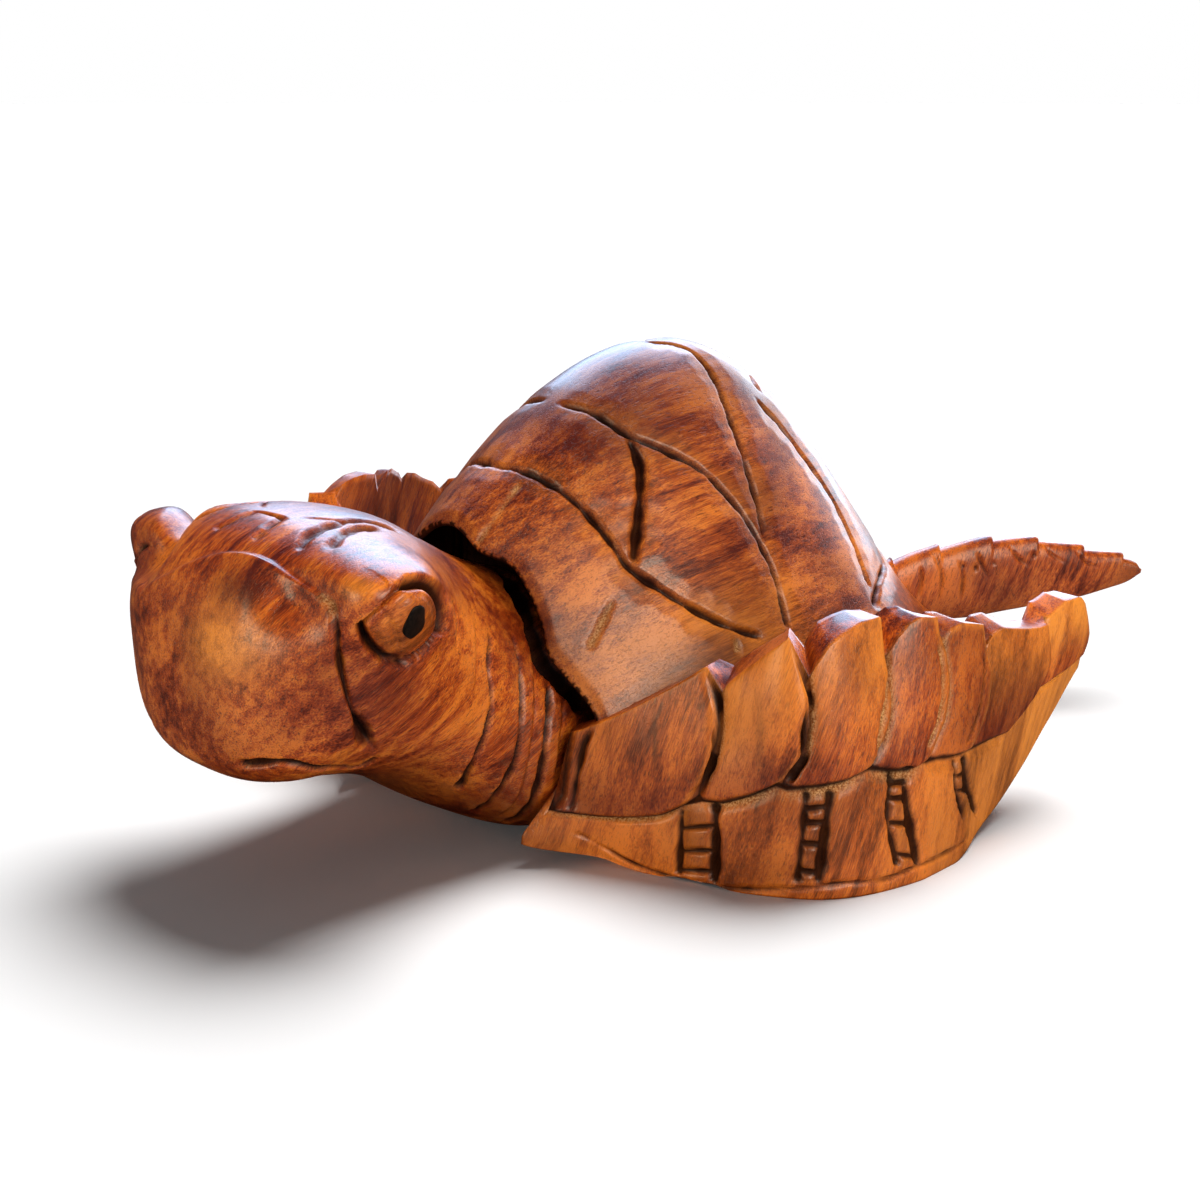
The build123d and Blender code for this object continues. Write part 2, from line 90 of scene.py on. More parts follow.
# %% Camera
CAMERA_PLACE = Vector((263.5, -282.6, 143.5)) * MM
CAMERA_AIM = Vector((-6.1, -7.5, 35.5)) * MM
LENS_MM = 54.0
SENSOR_MM = 36.0
PHOTO_PIXELS = 1200
FOCAL_PIXELS = LENS_MM / SENSOR_MM * PHOTO_PIXELS
MIDDLE_PIXEL = PHOTO_PIXELS / 2

camera_data = bpy.data.cameras.new("photo_camera")
camera_data.lens = LENS_MM
camera_data.sensor_width = SENSOR_MM
camera_data.clip_start = 0.01
camera = bpy.data.objects.new("photo_camera", camera_data)
camera.location = CAMERA_PLACE
camera.rotation_euler = (CAMERA_AIM - CAMERA_PLACE).to_track_quat("-Z", "Y").to_euler()
bpy.context.scene.collection.objects.link(camera)
bpy.context.scene.camera = camera
CAMERA_TURN = np.array(camera.rotation_euler.to_matrix())
print("camera with a focal length of", FOCAL_PIXELS, "pixels")


# %% Sight lines
def sight_lines(pixels):
    """Unit directions through pixels: one step ahead, plus the pixel's distance from the middle
    of the picture to the right and upwards, each over the focal length in pixels."""
    pixels = np.asarray(pixels, float)
    right = (pixels[:, 0] - MIDDLE_PIXEL) / FOCAL_PIXELS
    up = (MIDDLE_PIXEL - pixels[:, 1]) / FOCAL_PIXELS
    turned = np.stack([right, up, -np.ones(len(pixels))], axis=1) @ CAMERA_TURN.T
    return turned / np.linalg.norm(turned, axis=1, keepdims=True)


def seen_at(points):
    """The pixels at which the camera sees points in millimetres: the inverse of sight_lines."""
    local = (points - np.array(CAMERA_PLACE) / MM) @ CAMERA_TURN
    right = MIDDLE_PIXEL - FOCAL_PIXELS * local[..., 0] / local[..., 2]
    down = MIDDLE_PIXEL + FOCAL_PIXELS * local[..., 1] / local[..., 2]
    return np.stack([right, down], axis=-1)


# %% [markdown]
# ## Curves through a few chosen values
#
# A carver works from a few sizes and fairs the wood between them. `flow` does the same with
# numbers: it draws one even curve through a short list of values. A Blender curve object could
# do this too, but its points can't be worked on as whole arrays.

# %% Even curves and paths
def flow(at, places, values):
    """A smooth curve through (place, value) pairs: between two places it is the cubic whose end
    slopes are those that np.gradient finds in the list."""
    places = np.asarray(places, float)
    values = np.asarray(values, float)
    slopes = np.gradient(values, places)
    k = np.clip(np.searchsorted(places, at, side="right") - 1, 0, len(places) - 2)
    span = places[k + 1] - places[k]
    u = np.clip((at - places[k]) / span, 0, 1)
    start = (1 + 2 * u) * (1 - u) ** 2 * values[k] + u * (1 - u) ** 2 * span * slopes[k]
    end = u**2 * (3 - 2 * u) * values[k + 1] + u**2 * (u - 1) * span * slopes[k + 1]
    return start + end


def flow_places(at, knots, places):
    """flow for a list of places: one even curve for each coordinate."""
    return np.stack([flow(at, knots, places[:, axis]) for axis in range(places.shape[1])], axis=-1)


def ease(x, low, high):
    """0 below low, 1 above high, and an even s-curve between them."""
    t = np.clip((x - low) / (high - low), 0, 1)
    return t * t * (3 - 2 * t)


def hump(x, middle, reach):
    """1 at the middle, falling to nothing like a bell over the reach."""
    return np.exp(-(((x - middle) / reach) ** 2))


def chords(points):
    """The length of a path from its start to each of its points."""
    steps = np.linalg.norm(np.diff(points, axis=0), axis=1)
    return np.concatenate([[0.0], np.cumsum(steps)])


def even_path(points, spacing):
    """The smooth curve through a path's points, cut into equal steps of about the spacing."""
    run = chords(points)
    count = max(int(run[-1] / spacing), 2)
    return flow_places(np.linspace(0, run[-1], count + 1), run, points)


# %% [markdown]
# ## From a grid to a solid mesh
#
# Every carved piece is a stack of closed rings. Quads join each ring to the next one, and the
# first and last rings are closed by a fan, so that the piece is a solid that could be printed.
# The signed volume tells which way round the faces lie. Blender's own Recalculate Normals guesses
# that from the shape, and a deep groove can mislead it.

# %% Faces between rings
MERGE_MM = 0.002
BOX_MARGIN_MM = 0.02


def grid_quads(rings, places, closed=True):
    """Corner numbers of the quads between rings of points, which are closed loops or open rows."""
    row = np.arange(rings - 1)[:, None] * places
    first = np.arange(places if closed else places - 1)[None, :]
    second = (first + 1) % places
    corners = [row + first, row + second, row + places + second, row + places + first]
    return np.stack(np.broadcast_arrays(*corners), axis=-1).reshape(-1, 4)


def closed_faces(points, rings, places, first_fan):
    """The quads between the rings and a fan over each end, turned outwards, and the volume.

    The volume is a sixth of the sum over all triangles of one corner times the cross product of
    the other two. It comes out negative when the faces lie the wrong way round."""
    quads = grid_quads(rings, places)
    around = np.arange(places)
    following = (around + 1) % places
    last = (rings - 1) * places
    first_cap = np.stack([np.full(places, rings * places), following, around], axis=1)
    last_middle = np.full(places, rings * places + 1)
    last_cap = np.stack([last_middle, last + around, last + following], axis=1)
    triangles = np.concatenate([quads[:, [0, 1, 2]], quads[:, [0, 2, 3]], first_cap, last_cap])
    a, b, c = points[triangles].transpose(1, 0, 2)
    volume = np.einsum("ij,ij->", a, np.cross(b, c)) / 6
    faces = [*quads.tolist(), *(first_cap.tolist() if first_fan else []), *last_cap.tolist()]
    if volume < 0:
        faces = [face[::-1] for face in faces]
    return faces, abs(volume)


# %% Grid to mesh
def make_piece(name, grid, marks, first_fan=True):
    """Makes a closed mesh object from rings of points in millimetres, (ring, place, xyz).

    marks holds one number per grid point for each named attribute that the material reads.
    Without its fan the first ring must already close on itself, point on point."""
    rings, places = grid.shape[:2]
    low, high = np.array(CAD_BOX[0]) / MM, np.array(CAD_BOX[1]) / MM
    grid = np.clip(grid, low + BOX_MARGIN_MM, high - BOX_MARGIN_MM)
    ends = np.stack([grid[0].mean(axis=0), grid[-1].mean(axis=0)])
    points = np.concatenate([grid.reshape(-1, 3), ends]) * MM
    faces, volume = closed_faces(points, rings, places, first_fan)
    mesh = bpy.data.meshes.new(name)
    mesh.from_pydata(points.tolist(), [], faces)
    for label, values in marks.items():
        layer = mesh.attributes.new(label, "FLOAT", "POINT")
        layer.data.foreach_set("value", np.concatenate([values.ravel(), [0.0, 0.0]]))
    mesh.polygons.foreach_set("use_smooth", np.ones(len(mesh.polygons), bool))
    shape = bmesh.new()
    shape.from_mesh(mesh)
    bmesh.ops.remove_doubles(shape, verts=shape.verts, dist=MERGE_MM * MM)
    bmesh.ops.delete(shape, geom=[v for v in shape.verts if not v.link_faces], context="VERTS")
    shape.to_mesh(mesh)
    shape.free()
    piece = bpy.data.objects.new(name, mesh)
    bpy.context.scene.collection.objects.link(piece)
    print(name, len(mesh.vertices), "points,", len(mesh.polygons), "faces,",
          round(volume / MM**3 / 1000, 1), "cm3")
    return piece


def outward_normals(grid):
    """Unit normals of closed rings: the cross product of the steps along and around the grid,
    turned to point away from each ring's middle."""
    along = np.gradient(grid, axis=0)
    around = np.roll(grid, -1, axis=1) - np.roll(grid, 1, axis=1)
    normals = np.cross(along, around)
    normals /= np.maximum(np.linalg.norm(normals, axis=2, keepdims=True), 1e-9)
    away = grid - grid.mean(axis=1, keepdims=True)
    return normals * np.sign(np.sum(normals * away))


# %% [markdown]
# ## Tool cuts
#
# The carver drew every line with a v-tool or a knife. A cut here is a path on the wood with a
# width and a depth. Each grid point finds its distance to the path, and sinks by the share of the
# depth that is left there. The cut also marks the points, so that stain and painted shade can sit
# darker in it.
# A Boolean with a sweep would cut as sharply, but it leaves ragged faces and no soft ends.

# %% Landing pixels on the wood
def sight_tree(net, quads):
    """A search tree over a net of points, which lines of sight can hit."""
    return BVHTree.FromPolygons(net.reshape(-1, 3).tolist(), quads.tolist())


def cast(tree, pixels):
    """(place, face) where each line of sight first meets the net: pixels that miss are left out."""
    start = CAMERA_PLACE / MM
    hits = [tree.ray_cast(start, Vector(direction)) for direction in sight_lines(pixels)]
    found = [(place, face) for place, normal, face, distance in hits if place is not None]
    if len(found) < len(pixels):
        print("  missed", len(pixels) - len(found), "pixels of the line from", tuple(pixels[0]))
    return found


def landing_places(grid, pixels):
    """Where the lines of sight through the pixels meet a grid of closed rings, in millimetres."""
    tree = sight_tree(grid, grid_quads(*grid.shape[:2]))
    return np.array([place for place, face in cast(tree, pixels)])


# %% Distance to a cut
def gap_to_path(points, path):
    """Each point's distance to a path of straight pieces, its run along the path there, and the
    vector from the path to the point."""
    gap = np.full(len(points), np.inf)
    along = np.zeros(len(points))
    offset = np.zeros((len(points), 3))
    run = 0.0
    for start, end in zip(path[:-1], path[1:]):
        edge = end - start
        length = np.linalg.norm(edge)
        share = np.clip((points - start) @ edge / length**2, 0, 1)
        away = points - start - share[:, None] * edge
        distance = np.linalg.norm(away, axis=1)
        nearer = distance < gap
        gap = np.where(nearer, distance, gap)
        along = np.where(nearer, run + share * length, along)
        offset = np.where(nearer[:, None], away, offset)
        run += length
    return gap, along, offset, run


def near_path(points, path, reach):
    """Which points lie in the box round a path, grown by the reach: only these are measured."""
    return np.all((points > path.min(axis=0) - reach) & (points < path.max(axis=0) + reach), axis=1)


# %% How deep a cut sinks
def press(grid, path, width, depth, run_out):
    """How deep a cut sinks at every grid point: full depth on the path, nothing half a width
    away, both swelling a little along the path as a hand-held tool does."""
    points = grid.reshape(-1, 3)
    near = near_path(points, path, width)
    sink = np.zeros(len(points))
    if near.any():
        gap, along, offset, run = gap_to_path(points[near], path)
        swell = 1 + 0.14 * np.sin(along / 2.3 + path[0, 0]) + 0.1 * np.sin(along / 0.9 + path[0, 1])
        share = np.clip(1 - gap / (width / 2 * swell), 0, 1)
        ends = ease(np.minimum(along, run - along), -0.3 * run_out, run_out)
        sink[near] = depth * share**0.8 * ends * swell
    return sink.reshape(grid.shape[:2])


# %% Cuts on both sides
MIRROR = np.array([-1, 1, 1])


def near_half(path):
    """The part of a path on the near side of the middle plane, closed off exactly on the plane."""
    far = np.flatnonzero(path[:, 0] < 0)
    last = far[-1]
    if last == len(path) - 1:
        path = path[::-1]
        last = np.flatnonzero(path[:, 0] < 0)[-1]
    share = -path[last, 0] / (path[last + 1, 0] - path[last, 0])
    return np.concatenate([[path[last] + share * (path[last + 1] - path[last])], path[last + 1:]])


def cast_cuts(grid, cuts, both_sides):
    """Lands each (pixels, width, depth, run_out) cut on the grid, once or on both sides."""
    landed = []
    for pixels, width, depth, run_out in cuts:
        path = landing_places(grid, pixels)
        if len(path) < 2:
            continue
        crosses = both_sides and path[:, 0].min() < 0 < path[:, 0].max()
        if crosses:
            path = near_half(path)
            path = np.concatenate([path[:0:-1] * MIRROR, path])
        path = even_path(path, 1.0)
        landed.append((path, width, depth, run_out))
        if both_sides and not crosses:
            landed.append((path * MIRROR, width, depth, run_out))
    return landed


def deepest(grid, landed):
    """The deepest of all the cuts at every grid point: cuts that cross don't add up."""
    sink = np.zeros(grid.shape[:2])
    for path, width, depth, run_out in landed:
        sink = np.maximum(sink, press(grid, path, width, depth, run_out))
    return sink


# %% Steps and bumps
def step_beside(grid, path, ahead, before, behind, fall):
    """A step along a path: the side that faces ahead is raised by before at the path, the other
    side is lowered by behind, and both die away over the fall."""
    points = grid.reshape(-1, 3)
    near = near_path(points, path, 3 * fall)
    lift = np.zeros(len(points))
    gap, along, offset, run = gap_to_path(points[near], path)
    side = np.tanh(offset @ np.asarray(ahead, float) / 0.5)
    ends = ease(np.minimum(along, run - along), -1.0, 4.0)
    lift[near] = np.where(side > 0, before * side, behind * side) * np.exp(-gap / fall) * ends
    return lift.reshape(grid.shape[:2])


def hand_waver(grid, size, amount):
    """Slow bumps left by hand work: three crossed waves of about the given size."""
    x, y, z = grid[..., 0], grid[..., 1], grid[..., 2]
    waves = (np.sin(x / size + 1.3) * np.sin(y / size * 1.1 + 0.4)
             + np.sin(z / size * 1.3 + x / size * 0.5))
    return amount * (waves + 0.5 * np.sin(y / size * 2.3 + z / size * 1.7))


# %% [markdown]
# ## The wood
#
# The turtle is open-pored tropical hardwood, carved, sanded, stained orange-brown and lacquered.
# The eye reads it by four things: slow bands of darker heartwood, short dark pores that run with
# the grain, near-black stain and painted shade in the cuts, and a thin clear coat that takes the
# light.
# All of it is worked out from Object coordinates, so one piece of wood runs through each carving.
# A scanned wood picture would need UV maps, and its grain would break at every seam.

# %% Node helpers
def linear(hex_colour):
    """An sRGB hex colour as linear red, green, blue and alpha."""
    levels = np.array([int(hex_colour[i:i + 2], 16) for i in (1, 3, 5)]) / 255
    parts = np.where(levels <= 0.04045, levels / 12.92, ((levels + 0.055) / 1.055) ** 2.4)
    return (*parts.tolist(), 1.0)


def node(tree, kind, inputs=None, **settings):
    """Adds a node with its settings. An input is a value or another node's output socket."""
    made = tree.nodes.new("ShaderNode" + kind)
    for label, value in settings.items():
        setattr(made, label, value)
    for label, value in (inputs or {}).items():
        if isinstance(value, bpy.types.NodeSocket):
            tree.links.new(value, made.inputs[label])
        else:
            made.inputs[label].default_value = value
    return made


def ramp(tree, source, stops):
    """A colour ramp through (place, hex colour) stops."""
    made = node(tree, "ValToRGB", {"Fac": source})
    elements = made.color_ramp.elements
    while len(elements) < len(stops):
        elements.new(0.5)
    for element, (place, colour) in zip(elements, stops):
        element.position = place
        element.color = linear(colour)
    return made.outputs["Color"]


def blend_colour(tree, share, first, second):
    """Mixes two colours by a share."""
    return node(tree, "Mix", {0: share, 6: first, 7: second}, data_type="RGBA").outputs[2]


def level(tree, source, low, high, to_low=0.0, to_high=1.0):
    """Maps a value from one range to another, kept inside it."""
    made = node(tree, "MapRange", {"Value": source, "From Min": low, "From Max": high,
                                   "To Min": to_low, "To Max": to_high})
    return made.outputs["Result"]


def reckon(tree, operation, first, second):
    """One step of arithmetic between two values."""
    return node(tree, "Math", {0: first, 1: second}, operation=operation).outputs["Value"]


# %% [markdown]
# ## Stained hardwood, carved, sanded and lacquered
#
# The bands come from slow growth rings, 11 mm apart across the grain and four times as long along
# it. Pores in this kind of wood are about 0.3 mm wide and 2 mm long. The lacquer is a thin satin
# coat with an IOR of 1.5. It is missing where a cut or a chip has bared the wood, and those places
# are dull. The colours are sRGB: the stain is darkest where it pooled, and pale where hands or
# sandpaper have rubbed it off. The cut colour also paints shade into deep cuts and hollows, and
# the gold also paints highlights and sheen onto lit faces.

# %% Grain sizes and stains
BAND_MM = 11.0
LINE_MM = 1.7
FIBRE_MM = 0.24
PORE_WIDTH_MM = 0.32
PORE_LENGTH_MM = 2.2
SPECK_MM = 0.42
PATCH_MM = 24.0
PORE_RELIEF_MM = 0.12
PORE_STAIN = "#2C0D05"
DEEP_STAIN = "#3C1108"
# The cut colour is real stain and also painted shade in deep cuts and hollows
CUT_STAIN_AND_SHADE = "#180804"
# The gold is real wear and also painted highlights and sheen on lit faces
WEAR_AND_SHEEN_GOLD = "#D8842C"
BARED_DARK = "#6E4424"
BARED_PALE = "#C09464"


# %% Stained hardwood
def stained_hardwood(name, grain_way, light, middle, dark):
    """Lacquered tropical hardwood whose grain runs along grain_way."""
    material = bpy.data.materials.new(name)
    material.use_nodes = True
    tree = material.node_tree
    tree.nodes.clear()
    place = node(tree, "TexCoord").outputs["Object"]
    turn = Vector(grain_way).rotation_difference(Vector((1, 0, 0))).to_euler()
    turned = node(tree, "Mapping", {"Vector": place, "Rotation": turn}).outputs["Vector"]

    def grain_noise(size_mm, stretch, detail, roughness=0.5, bend=0.0):
        """Noise of a size across the grain, drawn out along it."""
        space = node(tree, "Mapping", {"Vector": turned, "Scale": (1 / stretch, 1, 1)})
        return node(tree, "TexNoise", {
            "Vector": space.outputs["Vector"], "Scale": 1 / (size_mm * MM), "Detail": detail,
            "Roughness": roughness, "Distortion": bend}).outputs["Fac"]

    # Heartwood bands, the lines between growth layers, and the fibres
    band = grain_noise(BAND_MM, 4.0, 2.0, 0.5, 0.4)
    lines = grain_noise(LINE_MM, 11.0, 3.0, 0.5, 0.25)
    fibres = grain_noise(FIBRE_MM, 16.0, 2.0)
    patches = node(tree, "TexNoise", {"Vector": place, "Scale": 1 / (PATCH_MM * MM),
                                      "Detail": 1.5}).outputs["Fac"]
    tone = reckon(tree, "ADD", reckon(tree, "MULTIPLY", band, 0.42),
                  reckon(tree, "MULTIPLY", lines, 0.32))
    tone = reckon(tree, "ADD", tone, reckon(tree, "MULTIPLY", fibres, 0.26))
    wood = ramp(tree, tone, [(0.4, dark), (0.483, middle), (0.572, light)])
    wood = blend_colour(tree, level(tree, patches, 0.44, 0.68, 0.0, 0.6), wood, linear(dark))

    # Pores: short dark dashes along the grain, and specks where the grain is cut across
    pores = grain_noise(PORE_WIDTH_MM, PORE_LENGTH_MM / PORE_WIDTH_MM, 1.0)
    pore = level(tree, pores, 0.6, 0.7)
    specks = node(tree, "TexNoise", {"Vector": place, "Scale": 1 / (SPECK_MM * MM), "Detail": 2.0,
                                     "Roughness": 0.7}).outputs["Fac"]
    speck = level(tree, specks, 0.55, 0.68, 0.0, 0.7)
    holes = reckon(tree, "MAXIMUM", pore, speck)
    wood = blend_colour(tree, reckon(tree, "MULTIPLY", holes, 0.6), wood, linear(PORE_STAIN))

    # Stain and painted shade in the cuts, wear and painted sheen in gold, and pale bared wood where
    # a chip came away
    cut = node(tree, "Attribute", attribute_name="cut").outputs["Fac"]
    pale = node(tree, "Attribute", attribute_name="pale").outputs["Fac"]
    wear_and_sheen = node(tree, "Attribute", attribute_name="wear_and_sheen").outputs["Fac"]
    shade = node(tree, "Attribute", attribute_name="shade").outputs["Fac"]
    wood = blend_colour(tree, reckon(tree, "MULTIPLY", shade, 0.8), wood, linear(DEEP_STAIN))
    wear_and_sheen_share = reckon(tree, "MULTIPLY", wear_and_sheen, level(tree, tone, 0.36, 0.62, 0.2, 0.85))
    wood = blend_colour(tree, wear_and_sheen_share, wood, linear(WEAR_AND_SHEEN_GOLD))
    bared = blend_colour(tree, level(tree, specks, 0.4, 0.62),
                         linear(BARED_DARK), linear(BARED_PALE))
    wood = blend_colour(tree, reckon(tree, "MULTIPLY", pale, 0.85), wood, bared)
    wood = blend_colour(tree, level(tree, cut, 0.12, 0.75, 0.0, 0.93), wood, linear(CUT_STAIN_AND_SHADE))

    # The lacquer lies on the sound wood, and the opened wood is rough and dull
    opened = reckon(tree, "MAXIMUM", cut, pale)
    rough = level(tree, band, 0.3, 0.7, 0.32, 0.44)
    rough = reckon(tree, "ADD", rough, reckon(tree, "MULTIPLY", opened, 0.3))
    sound = reckon(tree, "SUBTRACT", 1.0, reckon(tree, "MINIMUM", opened, 1.0))
    torn = reckon(tree, "MULTIPLY", reckon(tree, "MULTIPLY", specks, pale), 3.0)
    height = reckon(tree, "SUBTRACT", reckon(tree, "MULTIPLY", lines, 0.8), holes)
    height = reckon(tree, "ADD", height, torn)
    bump = node(tree, "Bump", {"Height": height, "Strength": 0.4, "Distance": PORE_RELIEF_MM * MM})
    shader = node(tree, "BsdfPrincipled", {
        "Base Color": wood, "Roughness": rough, "IOR": 1.45,
        "Coat Weight": reckon(tree, "MULTIPLY", sound, 0.3),
        "Specular IOR Level": level(tree, sound, 0.0, 1.0, 0.08, 0.5),
        "Coat Roughness": 0.25, "Coat IOR": 1.5, "Normal": bump.outputs["Normal"]})
    node(tree, "OutputMaterial", {"Surface": shader.outputs["BSDF"]})
    print("material", name)
    return material


# %% The three cuts of wood
# The grain runs along the shell, up the head's slope and up the flippers' feathers
SHELL_WOOD = stained_hardwood("stained_hardwood_shell", (0.1, 1.0, 0.15),
                              "#C06A24", "#8C3C10", "#4A1305")
HEAD_WOOD = stained_hardwood("stained_hardwood_head", (0.15, 0.8, 0.5),
                             "#C66A1C", "#963C0C", "#501405")
FLIPPER_WOOD = stained_hardwood("stained_hardwood_flipper", (0.12, 0.35, 0.93),
                                "#CC6818", "#9A3E0A", "#4E1304")


def finish_piece(piece, material, slot, *nodes):
    """Gives a piece its material and its body, and hides the CAD nodes that it stands for."""
    piece.data.materials.append(material)
    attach(piece, "root")
    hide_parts(*nodes)


# %% [markdown]
# ## The shell
#
# The shell is a dome: round over the front and the middle, and flared like a bell towards the
# rear. Each ring is one slice across it. Over the neck the slice's underside is the hollow of the
# hood, and behind the shoulders it is the flat joint face that rests on the belly.
# A scaled half sphere would be quicker, but the flare and the slanting hood need slices.

# %% Shell surface
SHELL_LENGTH = 140.0
SHELL_HALF_WIDTH = 54.0
SHELL_TOP = 93.0
SHELL_FRONT = -58.0
BELLY_TOP = 16.0
NECK_SEAT = -42.0
HOOD_LIP = 2.6
# The hood's edge over the neck, as pixels from the middle plane outwards
HOOD_MIDDLE_Y = -56.5
HOOD_RIM = [(476, 545), (498, 552), (513, 560), (530, 589), (541, 614), (548, 650),
            (570, 676), (591, 700)]
STATION_SHARES = (0.0, 0.1, 0.257, 0.443, 0.629, 0.786, 0.914, 1.0)
WIDTH_SHARES = (0.7, 0.835, 0.965, 1.0, 0.955, 0.81, 0.58, 0.3)
CREST_SHARES = (0.605, 0.73, 0.915, 1.0, 0.875, 0.585, 0.3, 0.14)
FLARE_SHARES = (0.62, 0.4, 0.32, 0.42, 0.48, 0.58, 0.6, 0.5)
HOOD_NET = 240
HOOD_ROLL_SHARE = 0.012


def flank_share(across, flare):
    """A slice's height at a share of its half width: a dome, 1 less a power of the share, mixed
    with a bell, half of 1 plus the cosine of half a turn."""
    reach = np.clip(np.abs(across), 0, 1)
    dome = (1 - reach**2.3) ** 0.78
    bell = (1 + np.cos(np.pi * reach)) / 2
    return dome * (1 - flare) + bell * flare


def shell_height(across, y):
    """Half width and height of the shell at a share of its half width and a place along it."""
    station = (y - SHELL_FRONT) / SHELL_LENGTH
    half = flow(station, STATION_SHARES, WIDTH_SHARES) * SHELL_HALF_WIDTH
    crest = BELLY_TOP + flow(station, STATION_SHARES, CREST_SHARES) * (SHELL_TOP - BELLY_TOP)
    rim = BELLY_TOP + 4.0 + 3.0 * station**3
    flare = flow(station, STATION_SHARES, FLARE_SHARES)
    return half, rim + (crest - rim) * flank_share(across, flare)


def hood_edge():
    """How far forward the shell reaches at shares of its half width: lines of sight through the
    hood's edge land on the shell drawn on forwards."""
    shares = np.linspace(0, 1, HOOD_NET)
    across, y = np.meshgrid(shares, np.linspace(SHELL_FRONT - 14, -30, HOOD_NET), indexing="ij")
    half, height = shell_height(across, y)
    quads = grid_quads(HOOD_NET, HOOD_NET, closed=False)
    hits = cast(sight_tree(np.stack([across * half, y, height], axis=-1), quads), HOOD_RIM)
    rim = [(quads[face][0] // HOOD_NET / (HOOD_NET - 1), place[1]) for place, face in hits]
    found = np.array([(0.0, HOOD_MIDDLE_Y), *rim])
    found = found[np.argsort(found[:, 0])]
    print("hood edge", found.round(2).tolist())
    return found


HOOD_EDGE = hood_edge()


# %% Shell slices
def shell_grid(rings, over):
    """Rings from the hood's edge to the tail end: over points across the top, then back under it.
    At the hood's edge the two rows of points meet, so the edge needs no cap."""
    even = np.linspace(-1, 1, 4001)
    half, height = shell_height(even, np.full(4001, 4.0))
    girth = chords(np.stack([even * half, height], axis=1))
    across = np.interp(np.linspace(0, girth[-1], over), girth, even)[None, :]
    back_across = across[:, ::-1][:, 1:-1]
    travel = np.linspace(0, 1, rings)[:, None]
    rear = SHELL_FRONT + SHELL_LENGTH

    def from_hood(share):
        front = np.interp(np.abs(share), HOOD_EDGE[:, 0], HOOD_EDGE[:, 1])
        kernel = np.exp(-(np.linspace(-2, 2, 15) ** 2))
        padded = np.pad(front, ((0, 0), (7, 7)), mode="edge")
        front = np.convolve(padded[0], kernel / kernel.sum(), mode="valid")[None, :]
        return front + (rear - front) * travel

    y = from_hood(across)
    half, height = shell_height(across, y)
    top = np.stack([across * half, y, height], axis=-1)

    # The underside: the hood's hollow in front of the seat, the flat joint face behind it
    y = from_hood(back_across)
    half, height = shell_height(back_across, y)
    lip = HOOD_LIP * np.sqrt(ease(travel, 0.0, HOOD_ROLL_SHARE))
    hollow = height - lip * 1.15
    flat = np.full_like(height, BELLY_TOP)
    behind = ease(y, NECK_SEAT - 0.6, NECK_SEAT) * ease(travel, 0.0, 0.004)
    x = back_across * (half - lip * 0.7 * (1 - behind))
    bottom = np.stack([x, y, hollow + (flat - hollow) * behind], axis=-1)

    # The hood's edge is rounded over by hand
    roll = (1 - ease(travel, 0.0, HOOD_ROLL_SHARE)) * HOOD_LIP * 0.4
    top[..., 2] -= roll
    bottom[..., 2] -= roll * (1 - behind)
    return np.concatenate([top, bottom], axis=1)


# %% [markdown]
# ## The shell's plate lines
#
# The plates are only drawn: one v-tool line for each seam, about 2 mm wide and 1.5 mm deep, and
# short knife slips beside them. Each line is a list of (right, down) pixels in the photograph,
# with its width, its depth and the length over which it runs out, in millimetres. The lines are
# mirrored to the far side, and two more behind are guesses. Cuts are pressed into the mesh, since
# a bump map alone would leave the outline smooth and the grooves without real shadow.

# %% Shell cuts, as pixels along each line
PLATE_CUT = (1.9, 1.5, 2.0)
SHELL_CUTS = [
    ([(430, 480), (450, 473), (482, 465), (527, 471), (572, 498), (609, 538), (628, 565),
      (660, 588), (700, 612), (729, 626), (763, 637)], *PLATE_CUT),
    ([(510, 402), (560, 403), (600, 415), (627, 433), (665, 449), (700, 467), (725, 490),
      (744, 513), (757, 534), (773, 566), (782, 597), (789, 628)], *PLATE_CUT),
    ([(629, 436), (640, 460), (641, 500), (634, 562)], 2.6, 1.9, 2.0),
    ([(645, 341), (690, 350), (712, 372), (725, 400), (738, 434), (750, 471), (761, 509),
      (766, 538)], *PLATE_CUT),
    ([(757, 400), (775, 417), (799, 448), (819, 475), (838, 507), (851, 534), (863, 566),
      (870, 586)], *PLATE_CUT),
    ([(884, 551), (885, 568), (878, 589), (872, 605)], 1.3, 0.8, 1.5),
]
# Lines out of the camera's sight, as shares of the half width and of the length
HIDDEN_LINES = [
    [(0.0, 0.64), (0.14, 0.6), (0.28, 0.56)],
    [(0.0, 0.83), (0.4, 0.84), (0.62, 0.79), (0.77, 0.67), (0.84, 0.6)],
]
SHELL_CHIPS = [
    ([(520, 483), (478, 543)], 1.5, 0.6, 0.6),
    ([(613, 600), (589, 648)], 1.7, 0.7, 0.8),
    ([(737, 638), (738, 653)], 1.8, 0.7, 0.6),
    ([(568, 690), (580, 706)], 4.5, 1.3, 1.0),
]

# %% Cutting the shell
OVER = 270
SANDED_WIDTH, SANDED_DIP = 9.0, 0.45
base = shell_grid(rings=310, over=OVER)
normals = outward_normals(base)
plate_cuts = cast_cuts(base, SHELL_CUTS, both_sides=True)
for line in HIDDEN_LINES:
    share, station = np.array(line).T
    half, height = shell_height(share, SHELL_FRONT + SHELL_LENGTH * station)
    corners = np.stack([share * half, SHELL_FRONT + SHELL_LENGTH * station, height], axis=1)
    path = even_path(corners, 1.0)
    plate_cuts += [(path, *PLATE_CUT), (path * MIRROR, *PLATE_CUT)]
sink = deepest(base, plate_cuts)
chip = deepest(base, cast_cuts(base, SHELL_CHIPS, both_sides=False))
# The wood sinks gently beside each line, where the edges were sanded over
dip = deepest(base, [(path, SANDED_WIDTH, SANDED_DIP, 3.0) for path, *rest in plate_cuts])
